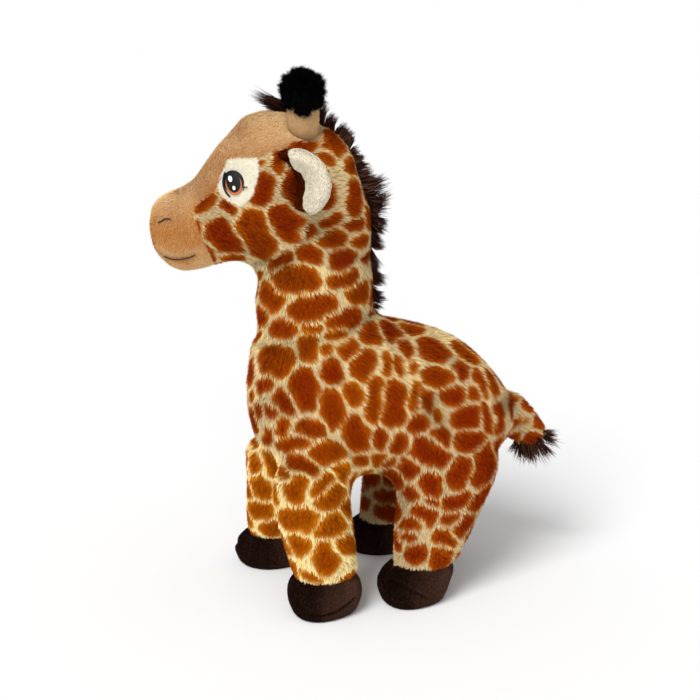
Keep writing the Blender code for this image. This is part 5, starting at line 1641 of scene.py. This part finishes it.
@dataclass
class Lock:
    """A row of long tufts between a root line and a tip line that were read off the picture."""

    name: str
    body: str
    nodes: tuple[str, ...]
    pivot: np.ndarray
    normal: np.ndarray
    roots: tuple
    tips: tuple
    width: float
    finish: PileFinish
    seed: int
    tangle: float = 0.34
    rows: int = 5

    def build(self, loom: Loom) -> None:
        """Makes the sewn-in tape and the tufts."""
        count = 60
        ends = []
        for line in (self.roots, self.tips):
            line = np.array(line, float)
            length = np.concatenate([[0], np.cumsum(np.linalg.norm(np.diff(line, axis=0), axis=1))])
            at = np.linspace(0, length[-1], count)
            places = np.stack([np.interp(at, length, line[:, k]) for k in (0, 1)], axis=1)
            ends.append(np.array([on_plane(x, y, self.pivot, self.normal) for x, y in places]))
        root, tip = ends
        away = tip - root
        reach = np.linalg.norm(away, axis=1)
        points, aims, piles = [], [], []
        for row in range(self.rows):
            across = (row / (self.rows - 1) - 0.5) * 2
            points.append(root + self.normal * across * self.width / 2 - unit(away) * SUNK)
            aims.append(unit(unit(away) + self.normal * across * 0.28))
            piles.append((reach + SUNK) * (1 - 0.12 * abs(across)))
        points, aims, piles = np.vstack(points), np.vstack(aims), np.concatenate(piles)
        tangled = unit(aims + self.tangle * waves(points, 0.009, self.seed))
        piles = piles * (1 + 0.20 * waves(points, 0.008, self.seed + 1)[:, 0])
        faces = [
            (r * count + k, r * count + k + 1, (r + 1) * count + k + 1, (r + 1) * count + k)
            for r in range(self.rows - 1) for k in range(count - 1)
        ]
        tape = mesh_object(f"{self.name}_tape", points, faces)
        for name, value in (
            ("aim", tangled), ("pile", piles), ("fill", np.ones(len(points))), ("room", np.full(len(points), 9.0)),
        ):
            store(tape.data, name, value)
        tape.data.materials.append(self.finish.material())
        for piece in (tape, *loom.grow(self.name, tape, self.finish, self.seed)):
            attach(piece, self.body)
            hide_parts(*self.nodes)


@dataclass
class Hoof:
    """A stuffed velboa hoof with its toe and sole seams."""

    loom: Loom
    end: str
    side: str
    MIDDLES = {"front": (0.0532, -0.0551), "hind": (0.0537, 0.0164)}
    # seams read off the near hooves: half width and corners in pixels
    SEAMS = {
        "front": (
            (1.3, ((304, 583), (298.5, 589), (297, 597), (299.5, 604), (305, 610))),
            (1.3, ((297, 584), (293.5, 592), (294.5, 600), (299.5, 607))),
            (1.2, ((302, 611), (311, 615.5), (322, 616.5), (334, 613), (346, 606), (355, 598))),
        ),
        "hind": (
            (1.3, ((383, 577), (386, 571), (392, 565.5), (400, 563))),
            (1.1, ((383, 577), (392, 580), (403, 585), (414, 592), (427, 598.5))),
            (1.1, ((383, 580), (386, 588), (391, 596))),
        ),
    }

    def build(self) -> None:
        """Makes the hoof's cloth and nap."""
        key = f"hoof_{self.end}_{self.side}"
        nodes = (f"{key}_upper", f"{key}_sole")
        cloth = worked_cloth(f"{key}_cloth", nodes, 1.5 * MM, 0.2 * MM, smooth=12)
        points = coordinates(cloth.data)
        low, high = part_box(nodes[1])
        middle = np.array(((low.x + high.x) / 2, (low.y + high.y) / 2, 0))
        height = points[:, 2]
        foot, shoulder = np.clip((0.011 - height) / 0.011, 0, 1), np.clip((height - 0.019) / 0.011, 0, 1)
        slim = 1 - 0.06 * foot**2 - 0.22 * shoulder**2
        away = (points[:, :2] - middle[:2]) * slim[:, None]
        toe = unit(np.array((0.8 if self.side == "left" else -0.8, -0.6)))
        ahead = np.clip(unit(away) @ toe, 0, 1) ** 3 * np.clip((0.022 - height) / 0.014, 0, 1)
        points[:, :2] = middle[:2] + away + 5.0 * MM * ahead[:, None] * toe
        move(cloth, points)
        normals = vertex_normals(cloth.data)
        moved, turned = points - middle, normals.copy()
        if self.side == "right":
            moved[:, 0], turned[:, 0] = -moved[:, 0], -turned[:, 0]
        places = LENS.project(moved + np.array((*self.MIDDLES[self.end], 0.0)))
        facing = (turned @ -LENS.axes()[0]) > 0.1
        dent = np.zeros(len(points))
        for wide, line in self.SEAMS[self.end]:
            dent = np.maximum(dent, np.exp(-((line_distance(places, line) / wide) ** 2)) * facing)
        move(cloth, points - normals * (1.7 * MM * dent)[:, None])
        # painted sheen: lighter on the side facing back and up, taken out along the seam dents
        light = np.clip(0.36 + normals[:, 1] + 0.2 * normals[:, 2], 0, 1)
        shine = {
            "upper": light * (1 - 0.9 * dent),
            "dusk": np.zeros(len(points)),
            "pile": VELBOA.length * (1 - 0.6 * dent),
        }
        furred(self.loom, cloth, f"{self.end}_{self.side}_leg", VELBOA, nodes, (0, 0.2, -1), 81, 1.0, shine)


def build_studio() -> None:
    """Pale seamless floor, a white surround and soft light from above and in front."""
    scene = bpy.context.scene
    world = bpy.data.worlds.new("soft_surround")
    world.use_nodes = True
    tree = world.node_tree
    tree.nodes.clear()
    path = add_node(tree, "ShaderNodeLightPath")
    lit = add_node(tree, "ShaderNodeBackground", {"Color": srgb("#FFFFFF"), "Strength": 0.42})
    seen = add_node(tree, "ShaderNodeBackground", {"Color": srgb("#FFFFFF"), "Strength": 1.0})
    mixed = add_node(
        tree, "ShaderNodeMixShader", {0: path.outputs["Is Camera Ray"], 1: out(lit), 2: out(seen)}
    )
    add_node(tree, "ShaderNodeOutputWorld", {"Surface": out(mixed)})
    scene.world = world
    for name, aim, power, spread in (
        ("key_light", (-0.62, 0.78, -1.08), 2.4, 30), ("fill_light", (-0.9, 0.35, -0.22), 1.1, 45),
    ):
        data = bpy.data.lights.new(name, "SUN")
        data.energy, data.angle = power, math.radians(spread)
        lamp = bpy.data.objects.new(name, data)
        scene.collection.objects.link(lamp)
        lamp.rotation_euler = Vector(aim).to_track_quat("-Z", "Y").to_euler()
    floor = mesh_object(
        "floor", np.array([(-20, -20, 0), (20, -20, 0), (20, 20, 0), (-20, 20, 0)], float), [(0, 1, 2, 3)]
    )
    mat = bpy.data.materials.new("white_painted_board_matt")
    mat.use_nodes = True
    skin = mat.node_tree.nodes["Principled BSDF"]
    skin.inputs["Base Color"].default_value = srgb("#FBFBFB")
    skin.inputs["Roughness"].default_value = 0.9
    skin.inputs["Specular IOR Level"].default_value = 0.1
    floor.data.materials.append(mat)
    floor.location.z = -0.0002
    scene.view_settings.view_transform = "Standard"


def build_coat(loom: Loom) -> Coat:
    """Builds the coat's cloth and pile, part by part.

    Args:
        loom: the pile's nodes.

    Returns:
        The coat.
    """
    coat = Coat()
    coat.comb()
    Pattern(coat).paint()
    rooms = Face.rooms(coat.points)
    for number, cut in enumerate(Coat.CUTS):
        if cut.name == "head":
            coat.values |= {f"room_{key}": value for key, value in rooms.items()}
        cloth = coat.part(cut)
        cloth.data.materials.append(BACKING.material())
        if cut.name != "head":
            for pile in loom.grow(f"{cut.name}_pile", cloth, LONG_PILE, 20 + number):
                cut.seat(pile)
        else:
            build_head_pile(loom, cloth, cut)
        cut.seat(cloth)
        log.info("%s: %d vertices", cloth.name, len(cloth.data.vertices))
    return coat


def build_head_pile(loom: Loom, cloth: bpy.types.Object, cut: Cut) -> None:
    """Grows the three fabrics of the head, each up to its seam.

    Args:
        loom: the pile's nodes.
        cloth: the head's cloth, with the room of each fabric.
        cut: the head's cut.
    """
    mesh = cloth.data
    fabrics = {"long": LONG_PILE, "tan": TAN_PILE, "ivory": IVORY_PILE}
    read = {key: np.zeros(len(mesh.vertices), np.float32) for key in fabrics}
    for key, values in read.items():
        mesh.attributes[f"room_{key}"].data.foreach_get("value", values)
    long = np.zeros(len(mesh.vertices), np.float32)
    mesh.attributes["pile"].data.foreach_get("value", long)
    for key in ("tan", "ivory"):
        mesh.materials.append(fabrics[key].material())
    kinds = np.argmax(np.stack([read["long"], read["tan"], read["ivory"] + 0.3]), axis=0)
    for face in mesh.polygons:
        face.material_index = int(np.median(kinds[list(face.vertices)]))
    for key, finish in fabrics.items():
        store(mesh, "room", read[key])
        store(mesh, "pile", long if key == "long" else np.full(len(long), finish.length))
        for pile in loom.grow(f"head_{key}_pile", cloth, finish, 40 + len(key)):
            cut.seat(pile)


# the root line and the tip line of each, read off the picture in pixels
LOCKS = (
    Lock(
        "mane_crown_pile", "head", ("mane_crown",), HEAD_PIVOT, HEAD_LEFT,
        (
            (320, 118), (338, 132), (350, 144), (356.5, 157), (359, 168), (363, 181), (367, 193), (374, 206),
            (374.5, 222), (375, 231), (373, 245), (373, 262),
        ),
        (
            (326, 100), (348, 127), (364, 154), (372, 166), (383, 178), (390, 196), (391, 212), (389, 226),
            (385, 240), (380, 253), (381, 264), (384, 275),
        ),
        7 * MM, MANE_PILE, 91,
    ),
    Lock(
        "mane_neck_pile", "neck", ("mane_neck",), MIDDLE, LEFT,
        ((373, 263), (372.6, 278), (373, 288), (372, 300), (369, 310)),
        ((384, 272), (381, 286), (384, 297), (383, 306), (377, 315)),
        7 * MM, MANE_PILE, 92,
    ),
    Lock(
        "forelock_pile", "head", ("mane_forelock",), HEAD_PIVOT, HEAD_LEFT,
        ((293, 109), (286, 111), (278, 110.5), (270, 109.5)),
        ((264, 94), (255, 89), (254, 95), (258, 105)),
        7 * MM, MANE_PILE, 93, 0.08,
    ),
    Lock(
        "tail_tuft_pile", "tail", ("tail_fringe",), MIDDLE, LEFT,
        ((516, 444), (524, 444), (532, 442), (540, 438), (545, 431)),
        ((511, 457), (525, 464), (540, 464), (552, 456), (558, 438)),
        9 * MM, MANE_PILE, 94,
    ),
)


def build_trim(loom: Loom) -> None:
    """Builds ears, horns, mane, forelock, tail tuft and hooves.

    Args:
        loom: the pile's nodes.
    """
    for ear in EARS:
        ear.build(loom)
    for side in ("left", "right"):
        Horn(loom, side).build()
        for end in ("front", "hind"):
            Hoof(loom, end, side).build()
    for lock in LOCKS:
        lock.build(loom)


def main() -> None:
    """Builds the whole toy in order."""
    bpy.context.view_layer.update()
    loom = Loom()
    coat = build_coat(loom)
    Face(coat).build()
    build_trim(loom)
    bpy.data.objects.remove(coat.obj)
    loom.clear()
    build_studio()
    LENS.build()


if __name__ == "__main__":
    main()
